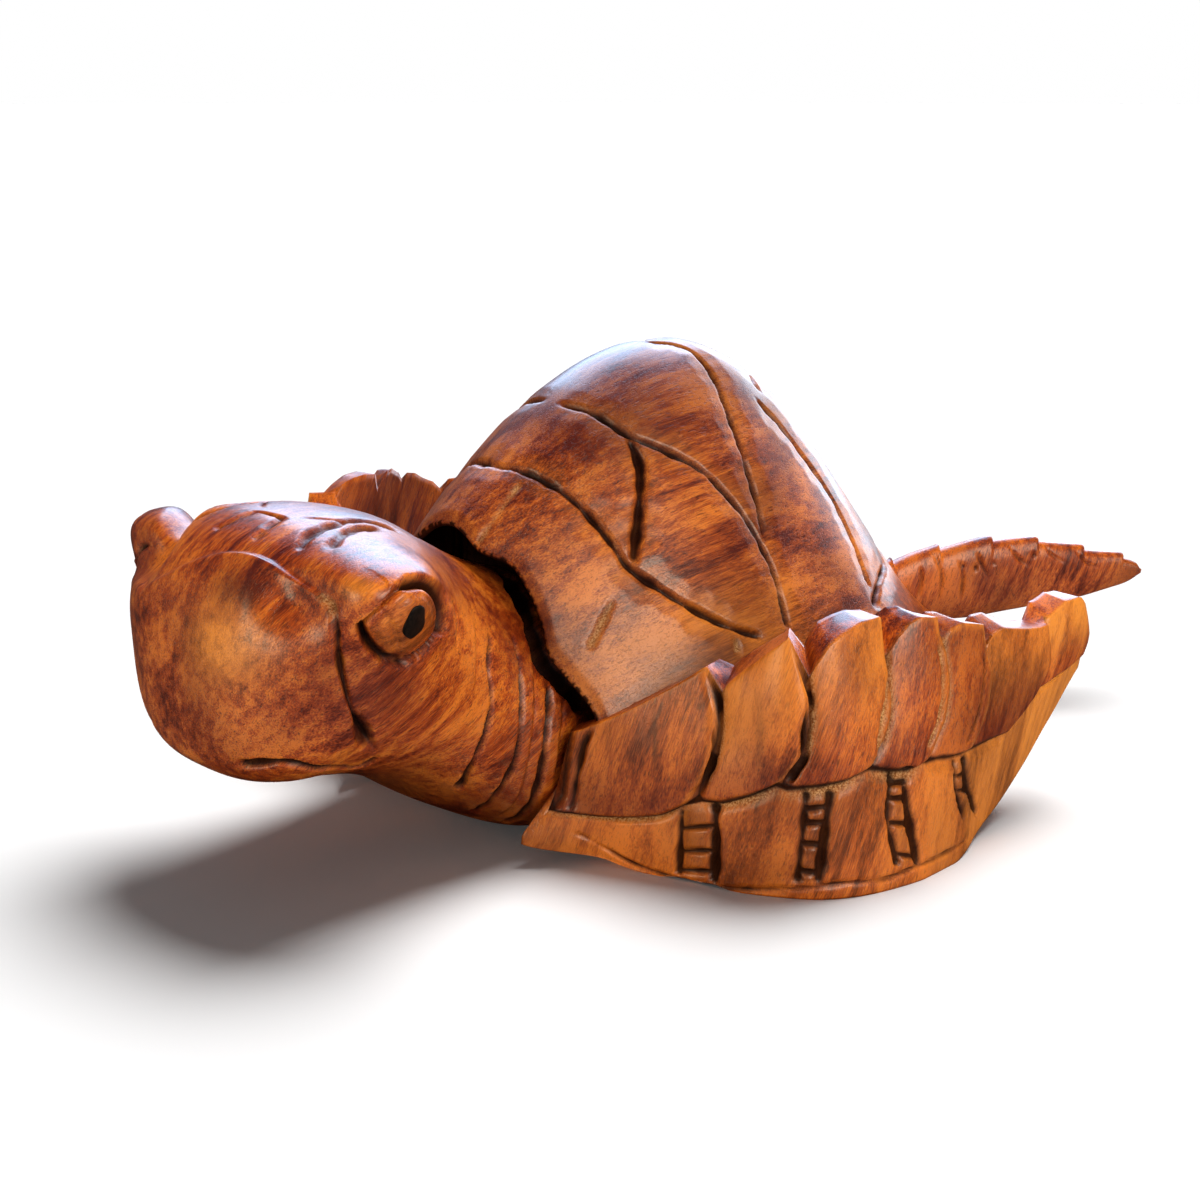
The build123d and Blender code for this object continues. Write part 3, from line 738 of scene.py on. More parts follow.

# %% Shell
# Painted shade: the hood's hollow underside takes the dark cut colour
hood_hollow_shade = np.zeros(base.shape[:2])
hood_hollow_shade[:, OVER:] = base[:, OVER:, 1] < NECK_SEAT + 2
waver = hand_waver(base, 9.0, 0.12)
inwards = (sink + dip + chip - waver) * (np.arange(base.shape[1]) < OVER)
inwards[0] = 0
carved = base - normals * inwards[..., None]
# Sanding wear beside the lines, and a painted tan sheen low on the front
rubbed_edges = np.clip(dip / SANDED_DIP - sink, 0, 1) * 0.3
front_sheen = 0.6 * ease(-base[..., 2], -58, -30) * hump(base[..., 1], -22, 26)
darker = ease(-base[..., 1], 42, 60) * 0.2 + 0.6 * ease(base[..., 2], 70, 88)
# The plain underside needs few columns: past the rim, six neighbours share one place and merge
carved[4:, OVER:] = carved[4:, OVER + np.arange(OVER - 2) // 6 * 6]
shell = make_piece("carved_shell", carved, first_fan=False, marks={
    "cut": np.maximum(sink / 1.5, hood_hollow_shade), "pale": chip / 0.7,
    "wear_and_sheen": rubbed_edges + front_sheen, "shade": darker})
finish_piece(shell, SHELL_WOOD, "carved_hardwood", "carapace", "shell_dowels")

# %% [markdown]
# ## The head and neck
#
# The head is a stack of slices from the blunt beak back to the joint under the hood. Each slice is
# two half ovals that meet where it is widest: the face is widest high up, at the eyes, and the
# neck is widest low down. The brow ridges and the eyeballs are swellings on that skin.
# Sculpt mode would be the usual way, but strokes can't be read back or changed one by one.

# %% Head surface
HEAD_FRONT = -119.5
HEAD_TOP = 71.0
NECK_HALF_WIDTH = 30.7
HEAD_STATIONS = (0.0, 0.04, 0.11, 0.22, 0.35, 0.5, 0.66, 0.83, 1.0)
HEAD_WIDTHS = (0.4, 0.7, 0.93, 1.05, 1.05, 0.99, 0.95, 0.95, 0.96)
HEAD_TOPS = (0.73, 0.845, 0.93, 0.99, 1.0, 0.97, 0.88, 0.78, 0.71)
HEAD_WAISTS = (0.58, 0.62, 0.66, 0.7, 0.68, 0.58, 0.42, 0.27, 0.2)
HEAD_BOTTOMS = (0.42, 0.38, 0.355, 0.335, 0.3, 0.225, 0.11, 0.02, 0.012)
HEAD_UPPER_POWERS = (2.9, 2.9, 2.9, 2.9, 2.7, 2.4, 2.0, 1.75, 1.7)
HEAD_LOWER_POWERS = (2.9, 2.8, 2.6, 2.4, 2.4, 2.5, 2.6, 2.8, 2.8)
BEAK_RINGS = 16
BEAK_DOME = 0.8
SANDING_STROKES = 160


def superoval(angle, exponent):
    """Cosine and sine, each raised to an exponent with its sign kept: an oval with fuller corners
    the lower the exponent is."""
    return [np.sign(wave) * np.abs(wave) ** exponent for wave in (np.cos(angle), np.sin(angle))]


def head_grid(rings, places):
    """Rings of two half superovals: x is the half width times a power of the cosine, z goes from
    the waist to the top or the bottom by the same power of the sine."""
    share = np.linspace(0, 1, rings - BEAK_RINGS) ** 1.25
    share = np.concatenate([np.zeros(BEAK_RINGS), share])[:, None]
    angle = np.linspace(0, 2 * np.pi, places, endpoint=False)[None, :]
    half = flow(share, HEAD_STATIONS, HEAD_WIDTHS) * NECK_HALF_WIDTH
    crest = flow(share, HEAD_STATIONS, HEAD_TOPS) * HEAD_TOP
    waist = flow(share, HEAD_STATIONS, HEAD_WAISTS) * HEAD_TOP
    low = flow(share, HEAD_STATIONS, HEAD_BOTTOMS) * HEAD_TOP
    upper = np.sin(angle) >= 0
    power = np.where(upper, flow(share, HEAD_STATIONS, HEAD_UPPER_POWERS),
                     flow(share, HEAD_STATIONS, HEAD_LOWER_POWERS))
    cosine, sine = superoval(angle, 2 / power)
    x = half * cosine
    z = waist + np.where(upper, crest - waist, low - waist) * np.abs(sine)
    y = HEAD_FRONT + BEAK_DOME + share * (NECK_SEAT - HEAD_FRONT - BEAK_DOME) + 0 * angle
    # The blunt front of the beak closes over a low dome
    closing = np.ones((rings, 1))
    closing[:BEAK_RINGS, 0] = np.sin(np.linspace(0.03, np.pi / 2, BEAK_RINGS, endpoint=False))
    middle = (crest + low) / 2
    x = x * closing
    z = middle + (z - middle) * closing
    y = y - BEAK_DOME * (1 - closing**2)
    grid = np.stack([x, y, z], axis=-1)
    # Sanded over: each ring moves to the middle of its neighbours many times, most at the beak
    hold = ease(share, 0.03, 0.16)[:, :, None]
    for _ in range(SANDING_STROKES):
        middle_ring = (grid[:-2] + 2 * grid[1:-1] + grid[2:]) / 4
        grid[1:-1] = middle_ring * (1 - hold[1:-1]) + grid[1:-1] * hold[1:-1]
    return grid


# %% [markdown]
# ## Cuts on the head
#
# The beak stands a step proud of the face, with a mouth line under it. The neck has deep and
# shallow wrinkles that follow the hood, the crown has shallow gouge marks, and a deep groove with a
# painted shadow runs along the neck where it meets the hood. These are pixel lines as on the shell.
# The step and the wrinkles' lips also raise one side of their line, which is what makes them look
# overlapped and not just cut.

# %% Head cuts, as pixels along each line
BEAK_STEP = [(143, 589), (152, 581), (168, 573), (190, 562), (214, 554), (245, 553), (270, 561),
             (300, 580), (326, 605), (335, 630), (338, 655), (344, 682), (353, 712), (371, 742)]
BEAK_LINE = [(312, 592), (328, 608), (335, 630), (338, 655), (344, 682), (353, 712), (366, 736),
             (374, 750)]
BEAK_SCOOP = [(356, 716), (363, 734), (370, 747)]
BEAK_SCRAPE = ([(312, 590), (326, 606), (334, 626)], 2.4, 0.8, 2.0)
MOUTH_LINE = [(165, 747), (190, 762), (240, 764), (290, 763), (330, 768), (360, 766), (375, 757)]
HOOD_SHADOW = [(436, 540), (462, 548), (486, 558), (505, 572), (521, 600), (533, 632), (542, 660),
               (560, 682), (584, 704)]
WRINKLES = [
    ([(452, 600), (457, 625), (456, 652)], 1.5, 0.8, 2.0),
    ([(476, 622), (477, 655), (475, 690)], 1.1, 0.5, 4.0),
    ([(491, 633), (490, 668), (492, 703), (486, 730), (473, 762), (456, 792), (434, 808)],
     2.2, 1.3, 2.0),
    ([(513, 637), (519, 668), (521, 703), (517, 752), (503, 785), (470, 812)], 2.2, 1.3, 2.0),
    ([(531, 655), (534, 700), (531, 745), (521, 792), (500, 815)], 1.2, 0.6, 3.0),
    ([(549, 684), (547, 722), (543, 765), (533, 800), (500, 822)], 2.6, 1.6, 2.0),
    ([(563, 700), (560, 740), (556, 780)], 1.2, 0.6, 3.0),
]
HEAD_CUTS = [
    (BEAK_LINE, 1.5, 1.2, 5.0),
    (MOUTH_LINE, 2.2, 1.8, 2.0),
    (HOOD_SHADOW, 5.5, 3.6, 2.0),
    ([(228, 516), (257, 510), (281, 517), (267, 528), (253, 541)], 1.5, 0.9, 1.5),
    ([(299, 517), (337, 520), (398, 532)], 0.9, 0.5, 3.0),
]
CROWN_GOUGES = [
    ([(299, 550), (306, 538), (323, 528), (357, 521), (398, 532)], 2.9, 1.2, 2.0),
    ([(330, 549), (340, 537), (354, 530), (381, 530)], 2.6, 1.1, 2.0),
    (BEAK_SCOOP, 3.4, 1.5, 2.5),
]
# Where the wood has a painted golden highlight, where it is reddest, and where it has a painted tan
# highlight, as pixels
GOLDEN_SHEEN_SPOT, RED_SPOT, BROW_SHEEN_SPOT = (222, 645), (232, 588), (356, 588)

# %% [markdown]
# ## The carved eyes
#
# Each eye is one piece with the head: the carver outlined it with a groove, rounded the ball
# inside and undercut the upper lid. It is drawn as the camera sees it, in millimetres to the right
# and up from the middle of the eye, and each point of the skin reads its lift from its distance
# to those outlines. A separate ball would be simpler, but it would show a seam that isn't there.

# %% Eye outlines
EYE_PIXEL = np.array([405.0, 620.0])
EYE_SCALE = 5.6
EYE_PLACE = np.array([30.0, -91.4, 55.4])
EYE_REACH = 16.0
LID_OUTLINE = np.array([(-8.1, -1.4), (-4.0, 2.9), (0.0, 6.3), (3.6, 6.1), (6.1, 2.8), (5.8, -1.4),
                        (2.7, -5.6), (-1.3, -7.5), (-6.1, -4.8), (-8.1, -1.4)])
LID_ARCH = np.array([(0.4, 6.3), (3.2, 6.6), (5.3, 5.0), (6.3, 2.2), (6.1, -1.6)])
LID_CORNER = np.array([(-8.0, -1.5), (-6.3, -4.4), (-3.6, -6.6), (-0.4, -7.4)])
BALL_FACET = np.array([(-4.2, 2.4), (-2.4, -1.6), (-1.6, -6.4)])


def eye_relief(grid, side):
    """The carved eye: a low dome inside the lids, a moat round it, and painted shade under the
    upper lid.

    Returns the lift of the skin, the painted shade in the moat and along the lids, and the wear on
    the dome."""
    mirrored = grid * [side, 1, 1]
    seen = (seen_at(mirrored) - EYE_PIXEL) / EYE_SCALE * [1, -1]
    near = (np.linalg.norm(mirrored - EYE_PLACE, axis=-1) < EYE_REACH) & (mirrored[..., 0] > 12)
    flat = np.pad(seen, ((0, 0), (0, 0), (0, 1))).reshape(-1, 3)

    def from_line(line):
        """Each point's distance to a line of the eye, and the line itself."""
        path = even_path(np.pad(line, ((0, 0), (0, 1))), 0.6)
        gap = np.full(len(flat), 99.0)
        gap[near.ravel()] = gap_to_path(flat[near.ravel()], path)[0]
        return gap.reshape(near.shape), path

    edge, lids = from_line(LID_OUTLINE)
    arch, _ = from_line(LID_ARCH)
    corner, _ = from_line(LID_CORNER)
    facet, _ = from_line(BALL_FACET)
    # Inside is where a point is nearer to the middle than the lids are in its direction
    turns = np.arctan2(lids[:-1, 1], lids[:-1, 0])
    order = np.argsort(turns)
    reach = np.interp(np.arctan2(seen[..., 1], seen[..., 0]), turns[order],
                      np.linalg.norm(lids[:-1], axis=1)[order], period=2 * np.pi)
    inside = np.linalg.norm(seen, axis=-1) < reach
    moat = np.clip(1 - edge / 0.9, 0, 1)
    upper = np.clip(1.25 * (1 - arch / 1.5), 0, 1)
    lower = np.clip(1.25 * (1 - corner / 1.3), 0, 1)
    flatter = 1 - 0.5 * ease(-seen[..., 0], -1.0, 7.0)
    dome = inside * (2.0 * flatter * (1 - np.exp(-edge / 1.9)) - 0.3)
    ring = 0.3 * np.exp(-(((edge - 1.9) / 0.35) ** 2)) * inside
    fold = 0.5 * np.exp(-((facet / 0.55) ** 2)) * inside
    lid = ~inside * 0.8 * np.exp(-edge / 2.2)
    lift = dome - ring - fold + lid - 1.3 * moat - 1.9 * upper - 1.6 * lower
    # Painted shade in the moat and under the lids
    dark = np.max([0.55 * moat, upper, 0.9 * lower], axis=0)
    return near * lift, near * dark, near * inside * ease(edge, 0.8, 2.5)


# %% Brows
BROW_Y, BROW_Z, BROW_JUT = -99.0, 62.5, 8.6
VALLEY_DEPTH, VALLEY_HALF_WIDTH = 4.4, 3.2
# The far brow is parted from the crown by a valley that only the far side has
BROW_VALLEY = np.array([(-19.0, -113.0, 66.0), (-21.0, -107.0, 68.5), (-25.0, -99.0, 68.5),
                        (-28.5, -94.5, 67.5), (-33.0, -90.5, 65.5), (-36.0, -87.0, 62.5)])
base = head_grid(rings=270, places=365)
# The brow ridges jut out over the eyes like a shelf with a steep front
across = np.abs(base[..., 0])
from_front = np.where(base[..., 1] < BROW_Y,
                      (BROW_Y - base[..., 1]) / 10.5, (base[..., 1] - BROW_Y) / 15.0)
jut = BROW_JUT * np.exp(-(from_front**4)) * hump(base[..., 2], BROW_Z, 6.8) * ease(across, 16, 28)
scoop = 2.8 * hump(base[..., 1], -111.5, 3.8) * hump(base[..., 2], 63, 6) * ease(across, 13, 21)
jut_way = np.stack([0.95 * np.sign(base[..., 0]), 0 * across - 0.12, 0 * across + 0.25], axis=-1)
base = base + jut[..., None] * jut_way
normals = outward_normals(base)
from_valley = gap_to_path(base.reshape(-1, 3), even_path(BROW_VALLEY, 1.0))[0].reshape(across.shape)
swell = -scoop - VALLEY_DEPTH * hump(from_valley, 0, VALLEY_HALF_WIDTH)

# %% Eyes, beak and wrinkles
# The eyes' painted shade in the moat and along the lids gathers here
dark = np.zeros(base.shape[:2])
dome = np.zeros(base.shape[:2])
for side in (1, -1):
    lift, moat, bulge = eye_relief(base, side)
    swell += lift
    dark = np.maximum(dark, moat)
    dome = np.maximum(dome, bulge)
beak_step = even_path(landing_places(base, BEAK_STEP), 1.0)
# The far end of the step is out of sight, and mirrors the near one
hidden = beak_step[beak_step[:, 2] < beak_step[0, 2] - 1.0] * MIRROR
beak_step = np.concatenate([hidden[::-1], beak_step])
swell += step_beside(base, beak_step, (0, -1, -0.25), 0.9, 0.6, 4.5)
nicks = np.sin(base[..., 2] * 2.6 + base[..., 1] * 1.3)
rough_edge = 0.5 + 0.5 * nicks * np.sin(base[..., 2] * 0.9)
ridge = np.zeros(base.shape[:2])
wrinkles = cast_cuts(base, WRINKLES, both_sides=True)
for path, width, depth, run_out in wrinkles:
    step = step_beside(base, path, (0, -1, 0), 0.6, 0.4, 2.6)
    swell += step
    ridge = np.maximum(ridge, np.clip(step, 0, 1) * rough_edge)

# %% Head
sink = deepest(base, cast_cuts(base, HEAD_CUTS, both_sides=True) + wrinkles)
gouge = deepest(base, cast_cuts(base, CROWN_GOUGES, both_sides=True))
waver = hand_waver(base, 7.0, 0.14)
carved = base + normals * (swell + waver - sink - gouge)[..., None]
carved[..., 1] = np.maximum(carved[..., 1], HEAD_FRONT)


def spot(place, drawn_out, reach):
    """1 at a place on the head, falling like a bell round it, in an oval drawn out upwards."""
    return hump(np.linalg.norm((base - place) / [1.0, 1.0, drawn_out], axis=-1), 0, reach)


golden_sheen, red, rub_and_sheen = landing_places(base, [GOLDEN_SHEEN_SPOT, RED_SPOT, BROW_SHEEN_SPOT])
gouged = np.clip(gouge, 0, 1)
scraped = deepest(base, cast_cuts(base, [BEAK_SCRAPE], both_sides=False))
# Stain in the cuts, and painted shadow in the groove under the hood's rim
stain_and_shade = np.clip(sink / 1.2, 0, 1) * (1 - scraped)
# Painted highlights on the muzzle and on the near brow's front, and wear on the eye domes
wear_and_sheen = [1.7 * spot(golden_sheen, 0.7, 8.0), 0.35 * dome, 1.2 * spot(rub_and_sheen, 0.5, 3.4)]
head = make_piece("carved_head", carved, {
    "cut": np.maximum(stain_and_shade, np.maximum(dark, 0.42 * gouged)),
    "pale": np.maximum(0.5 * ridge, scraped), "wear_and_sheen": np.max(wear_and_sheen, axis=0),
    "shade": gouged + 0.8 * spot(red, 0.7, 5.5)})
finish_piece(head, HEAD_WOOD, "carved_hardwood", "head", "neck_dowels")

# %% [markdown]
# ## The pupils
#
# Each pupil is a black plug let into the carved eyeball. Its outline is not a circle: the knife
# left flat sides, so its shape here is a knife-cut outline laid on the ball and drawn inwards.
# Black paint would look the same, and a plug is a piece of its own, as in the CAD model.
# Polished ebony has an IOR of about 1.5. Its grain is 0.4 mm wide, and hardly shows.

# %% Ebony
EBONY_GRAIN_MM = 0.4


def ebony(name):
    """Polished ebony: near black, with a fine grain that only the highlight shows."""
    material = bpy.data.materials.new(name)
    material.use_nodes = True
    tree = material.node_tree
    tree.nodes.clear()
    place = node(tree, "TexCoord").outputs["Object"]
    upright = node(tree, "Mapping", {"Vector": place, "Scale": (1, 1, 0.2)}).outputs["Vector"]
    grain = node(tree, "TexNoise", {"Vector": upright, "Scale": 1 / (EBONY_GRAIN_MM * MM),
                                    "Detail": 2.0}).outputs["Fac"]
    colour = ramp(tree, grain, [(0.35, "#070504"), (0.65, "#1C120D")])
    bump = node(tree, "Bump", {"Height": grain, "Strength": 0.2, "Distance": 0.03 * MM})
    shader = node(tree, "BsdfPrincipled", {
        "Base Color": colour, "Roughness": 0.6, "IOR": 1.5, "Specular IOR Level": 0.2,
        "Normal": bump.outputs["Normal"]})
    node(tree, "OutputMaterial", {"Surface": shader.outputs["BSDF"]})
    return material


EBONY = ebony("polished_ebony")

# %% Pupils
PUPIL_PIXEL = np.array([414.0, 622.0])
PUPIL_PIXELS_ACROSS, PUPIL_PIXELS_UP = 8.6, 17.5
PUPIL_LEAN = 0.42
PLUG_PROUD = 0.38


def pupil_grid():
    """Rings from the middle of the plug's face to its edge and down its wall. Each ring is a
    leaning oval with a few knife-cut flats, drawn in towards its middle and laid on the eyeball."""
    angle = np.linspace(0, 2 * np.pi, 40, endpoint=False)
    flats = 1 + 0.06 * np.cos(3 * angle + 0.6) + 0.04 * np.cos(5 * angle)
    across = PUPIL_PIXELS_ACROSS * np.cos(angle) * flats
    up = PUPIL_PIXELS_UP * np.sin(angle) * flats
    outline = np.stack([across * np.cos(PUPIL_LEAN) + up * np.sin(PUPIL_LEAN),
                        across * np.sin(PUPIL_LEAN) - up * np.cos(PUPIL_LEAN)], axis=-1)
    size = np.linspace(0.05, 1.0, 12)
    pixels = (PUPIL_PIXEL + outline[None] * size[:, None, None]).reshape(-1, 2)
    face = landing_places(carved, pixels).reshape(len(size), len(outline), 3)
    # Outwards is square to two arms of the face, on the side that the camera sees
    out = np.cross(face[-1, 0] - face[0, 0], face[-1, len(outline) // 4] - face[0, 0])
    out *= np.sign(out[0]) / np.linalg.norm(out)
    face = face + (PLUG_PROUD - 0.1 * size[:, None, None] ** 2) * out
    walls = [face[-1] - 0.25 * out, face[-1] - 1.0 * out, face[-1] - 2.2 * out]
    return np.concatenate([face, walls])


plug = pupil_grid()
for side, label in ((1, "left"), (-1, "right")):
    pupil = make_piece(f"ebony_pupil_{label}", plug * [side, 1, 1], {})
    finish_piece(pupil, EBONY, "ebony_pupil", f"pupil_{label}")

# %% [markdown]
# ## The front flippers
#
# A front flipper is a curved wall of feather-like scales in two rows. The wall is ruled between a
# foot curve and a crest curve. Each feather is a patch of the wall between two slanting lines:
# it starts low and sunk behind its neighbour, and ends high, proud and pointed.
# Separate feather objects would overlap easily, but the real flipper is one carved blade.

# %% Front flipper wall
BLADE_HALF_SPAN = 87.0
SHOULDER_X = 31.0
BLADE_FRONT = -57.0
BLADE_TIP = 50.0
BLADE_RISE = 52.0
RIGHT_RISE = 1.1
FOOT_SHARES = np.array([
    (0.0, 0.0, 0.09), (0.27, 0.065, 0.0), (0.464, 0.1, 0.0), (0.643, 0.13, 0.0),
    (0.82, 0.187, 0.0), (0.985, 0.355, 0.0), (1.0, 0.495, 0.0), (0.94, 0.617, 0.04),
    (0.915, 0.757, 0.165), (0.91, 0.97, 0.52)])
CREST_BLADE_SHARES = np.array([
    (0.03, 0.03, 0.63), (0.25, 0.105, 0.74), (0.395, 0.145, 0.8), (0.57, 0.175, 0.89),
    (0.715, 0.197, 0.965), (0.81, 0.37, 0.97), (0.885, 0.483, 0.945), (0.91, 0.605, 0.875),
    (0.91, 0.81, 0.78), (0.91, 0.944, 0.86)])


def blade_curve(shares, rise):
    """Shares of the blade's reach, run and rise as places in millimetres."""
    size = np.array([BLADE_HALF_SPAN - SHOULDER_X, BLADE_TIP - BLADE_FRONT, BLADE_RISE * rise])
    return np.array([SHOULDER_X, BLADE_FRONT, 0.0]) + shares * size


FOOT_CURVE = blade_curve(FOOT_SHARES, 1.0)
BLADE_RUN = chords((FOOT_CURVE + blade_curve(CREST_BLADE_SHARES, 1.0)) / 2)


def blade_wall(run, up, rise):
    """The wall's outer face: at a run along it, a straight line from foot to crest that bulges
    outwards by a sine of the share of its height."""
    foot = flow_places(run, BLADE_RUN, FOOT_CURVE)
    crest = flow_places(run, BLADE_RUN, blade_curve(CREST_BLADE_SHARES, rise))
    before = flow_places(run - 1.0, BLADE_RUN, FOOT_CURVE)
    after = flow_places(run + 1.0, BLADE_RUN, FOOT_CURVE)
    ahead = (after - before) * [1, 1, 0]
    ahead /= np.maximum(np.linalg.norm(ahead, axis=-1, keepdims=True), 1e-6)
    outward = np.stack([ahead[..., 1], -ahead[..., 0], 0 * run], axis=-1)
    bulge = 1.2 * np.sin(np.pi * np.clip(up, 0, 1))
    return foot + up[..., None] * (crest - foot) + bulge[..., None] * outward, outward


# %% A net of the wall to land pixels on
NET_RUNS = np.linspace(0, BLADE_RUN[-1], 500)
NET_UPS = np.linspace(-0.05, 1.3, 140)
NET = blade_wall(*np.meshgrid(NET_RUNS, NET_UPS, indexing="ij"), 1.0)[0].reshape(-1, 3)
NET_QUADS = grid_quads(len(NET_RUNS), len(NET_UPS), closed=False)
NET_TREE = sight_tree(NET, NET_QUADS)


def wall_places(pixels):
    """(run along, share up) of the wall where the lines of sight land on it: those of the
    nearest corner of the net's face."""
    found = []
    for place, face in cast(NET_TREE, pixels):
        corners = NET_QUADS[face]
        nearest = corners[np.argmin(np.linalg.norm(NET[corners] - np.array(place), axis=1))]
        found.append((NET_RUNS[nearest // len(NET_UPS)], NET_UPS[nearest % len(NET_UPS)]))
    return np.array(found)


# %% [markdown]
# ## The feathers' outlines and cuts
#
# The upper row has seven feathers. Each is known by its lower edge, its top edge and the slanting
# line that parts it from the next one. The second row is cut by four ladders: two upright grooves
# each, with chips between them. All of these are pixel lines too, in the photograph's frame, and
# the far flipper gets the near one's lines mirrored, because only its crest can be seen.

# %% Feather outlines, as pixels
# Each feather: its lower edge over the second row, then its top edge, both from front to rear
FEATHER_EDGES = [
    ([(573, 811), (600, 816), (626, 818), (661, 815), (684, 804)],
     [(602, 721), (655, 695), (709, 665)]),
    ([(701, 799), (722, 802), (751, 794), (776, 784)],
     [(722, 693), (729, 684), (745, 671), (768, 651), (789, 634)]),
    ([(786, 789), (822, 786), (843, 781), (864, 768)],
     [(811, 680), (817, 664), (828, 646), (843, 630), (858, 620), (875, 616)]),
    ([(869, 766), (892, 771), (910, 768), (922, 760)],
     [(888, 658), (895, 637), (905, 623), (916, 614), (931, 615)]),
    ([(928, 760), (940, 757), (950, 757), (962, 752)],
     [(941, 645), (948, 631), (958, 622), (976, 622)]),
    ([(967, 750), (1001, 735), (1030, 693)], [(985, 650), (991, 634), (1001, 627), (1042, 624)]),
    ([(1033, 690), (1052, 676), (1075, 655)], [(1046, 619), (1062, 601), (1074, 595), (1082, 598)]),
]
FEATHER_LINES = [
    [(709, 668), (713, 683), (718, 706), (719, 727), (714, 754), (703, 784), (692, 800)],
    [(793, 639), (801, 669), (807, 695), (809, 726), (803, 756), (790, 775), (781, 784)],
    [(878, 621), (881, 655), (885, 684), (885, 716), (879, 745), (868, 765)],
    [(935, 634), (941, 653), (943, 684), (939, 718), (926, 756)],
    [(980, 648), (984, 669), (982, 705), (974, 730), (964, 751)],
    [(1043, 630), (1044, 660), (1031, 692)],
]

# %% Cuts in the second row and between the feathers, as pixels
# Each ladder: its left groove, its right groove, and how far down each rung lies
LADDERS = [
    ([(682, 808), (680, 840), (678, 876)], [(716, 802), (715, 840), (713, 884)], (827, 851, 871)),
    ([(807, 790), (803, 830), (797, 884)], [(831, 789), (826, 830), (818, 884)],
     (808, 823, 844, 872)),
    ([(892, 772), (889, 810), (898, 866)], [(908, 768), (909, 810), (918, 866)],
     (781, 798, 823, 855)),
    ([(955, 758), (957, 785), (964, 818)], [(966, 755), (969, 785), (977, 814)], (775, 790)),
]
RIM_LINE = [(575, 832), (626, 861), (665, 876), (713, 888), (797, 889), (843, 883), (885, 879),
            (915, 867), (940, 856), (967, 838)]
# Gouged channels between the feathers: dark ones, then pale ones
DARK_CHANNELS = [
    ([(713, 678), (717, 705), (716, 734), (709, 767), (694, 796)], 2.4, 1.5, 2.0),
    ([(803, 655), (808, 695), (807, 730), (800, 765), (787, 783)], 2.3, 1.4, 2.0),
    ([(985, 652), (985, 676), (979, 715), (967, 745)], 1.3, 0.8, 2.0),
    ([(598, 722), (583, 745), (579, 763), (575, 782), (570, 812)], 1.8, 1.2, 2.0),
]
PALE_CHANNELS = [
    ([(886, 655), (887, 700), (881, 738), (873, 765)], 1.7, 1.0, 2.0),
    ([(941, 643), (944, 680), (941, 717), (928, 751)], 1.4, 0.9, 2.0),
]
# Stain marks that run down the feathers
STREAKS = [
    ([(654, 697), (655, 740), (654, 787)], 1.2, 1.0, 6.0),
    ([(608, 724), (608, 750), (607, 778)], 1.0, 0.8, 5.0),
    ([(759, 657), (760, 720), (757, 782)], 2.4, 0.7, 8.0),
]

# %% Feather sizes
# How far each feather's upper part gets a painted tan sheen, how much darker red its foot is, and
# how far the row below it is lightened to gold
FEATHER_SHEEN = (0.3, 1.0, 0.8, 0.12, 0.12, 0.8, 1.7)
FEATHER_RED = (0.7, 0.1, 0.2, 0.4, 0.4, 0.2, 0.1)
LOWER_TAN = (0.4, 0.25, 0.3, 0.4, 0.6, 1.0, 1.5)
FEATHER_STEP = 1.3
ROW_STEP = 1.1
LOWER_ROWS = 44
UPPER_ROWS = 66
COLUMN_MM = 0.5
CREST_THICKNESS = 4.5
FOOT_THICKNESS = 9.0


def through(places, shares):
    """The path through (run, up) places, read at even shares of its length."""
    run = chords(places)
    return np.stack([np.interp(shares * run[-1], run, places[:, axis]) for axis in (0, 1)], axis=-1)


def feather_edges(number):
    """A feather's lower and top edge on the wall. The outer two reach the blade's ends."""
    low, top = (wall_places(pixels) for pixels in FEATHER_EDGES[number])
    if number == 0:
        low = np.concatenate([[(0.0, low[0, 1])], low])
        top = np.concatenate([[(0.0, top[0, 1] - 0.05)], top])
    if number == len(FEATHER_EDGES) - 1:
        end = BLADE_RUN[-1]
        low = np.concatenate([low, [(end, 0.45)]])
        top = np.concatenate([top, [(end, top[-1, 1] - 0.12)]])
    return low, top


# %% One feather
def feather_wall(number):
    """A feather with the second row's part below it, as (run, up) places in columns, and its
    length. Each column goes straight from foot to lower edge to top edge. Then the feather's
    sides are drawn over to the slanting lines, most at half height."""
    low, top = feather_edges(number)
    length = max(top[-1, 0] - top[0, 0], low[-1, 0] - low[0, 0])
    across = np.linspace(0, 1, max(int(length / COLUMN_MM), 12))
    low_at = through(low, across)[:, None, :]
    top_at = through(top, across)[:, None, :]
    height = np.linspace(0, 1, UPPER_ROWS)
    upper = low_at * (1 - height[None, :, None]) + top_at * height[None, :, None]
    fade = np.sin(np.pi * height) ** 0.3
    for share, line_number, column in ((1 - across, number - 1, 0), (across, number, -1)):
        if 0 <= line_number < len(FEATHER_LINES):
            line = wall_places(FEATHER_LINES[line_number])
            line = line[np.argsort(line[:, 1])]
            edge = upper[column]
            wanted = np.interp(edge[:, 1], line[:, 1], line[:, 0])
            upper[..., 0] += share[:, None] * ((wanted - edge[:, 0]) * fade)[None, :]
    below = np.linspace(0, 1, LOWER_ROWS, endpoint=False)[None, :, None]
    lower = low_at * [1, 0] * (1 - below) + low_at * below
    return np.concatenate([lower, upper], axis=1), length


def feather_relief(across, height, below, length):
    """How far the second row and the feather stand out of the wall: the row's top edge is
    bevelled, and the feather rises along its length, swells in its middle and has rounded sides."""
    proud = ROW_STEP + FEATHER_STEP * (ease(across, 0.0, 1.0) - 0.5)
    proud = proud + 0.7 * np.sin(np.pi * across) * np.sin(np.pi * height) ** 0.7
    proud = proud - 0.9 * hump(across * length, 0.0, 1.0)
    proud = proud - 0.25 * hump((1 - across) * length, 0.0, 0.7)
    proud = proud * ease(height * 30, -0.5, 1.2)
    bevel = -0.9 * ease(below, 0.86, 1.0) * np.sin(np.pi * (0.15 + 0.7 * across))
    return np.concatenate([bevel, proud], axis=1)


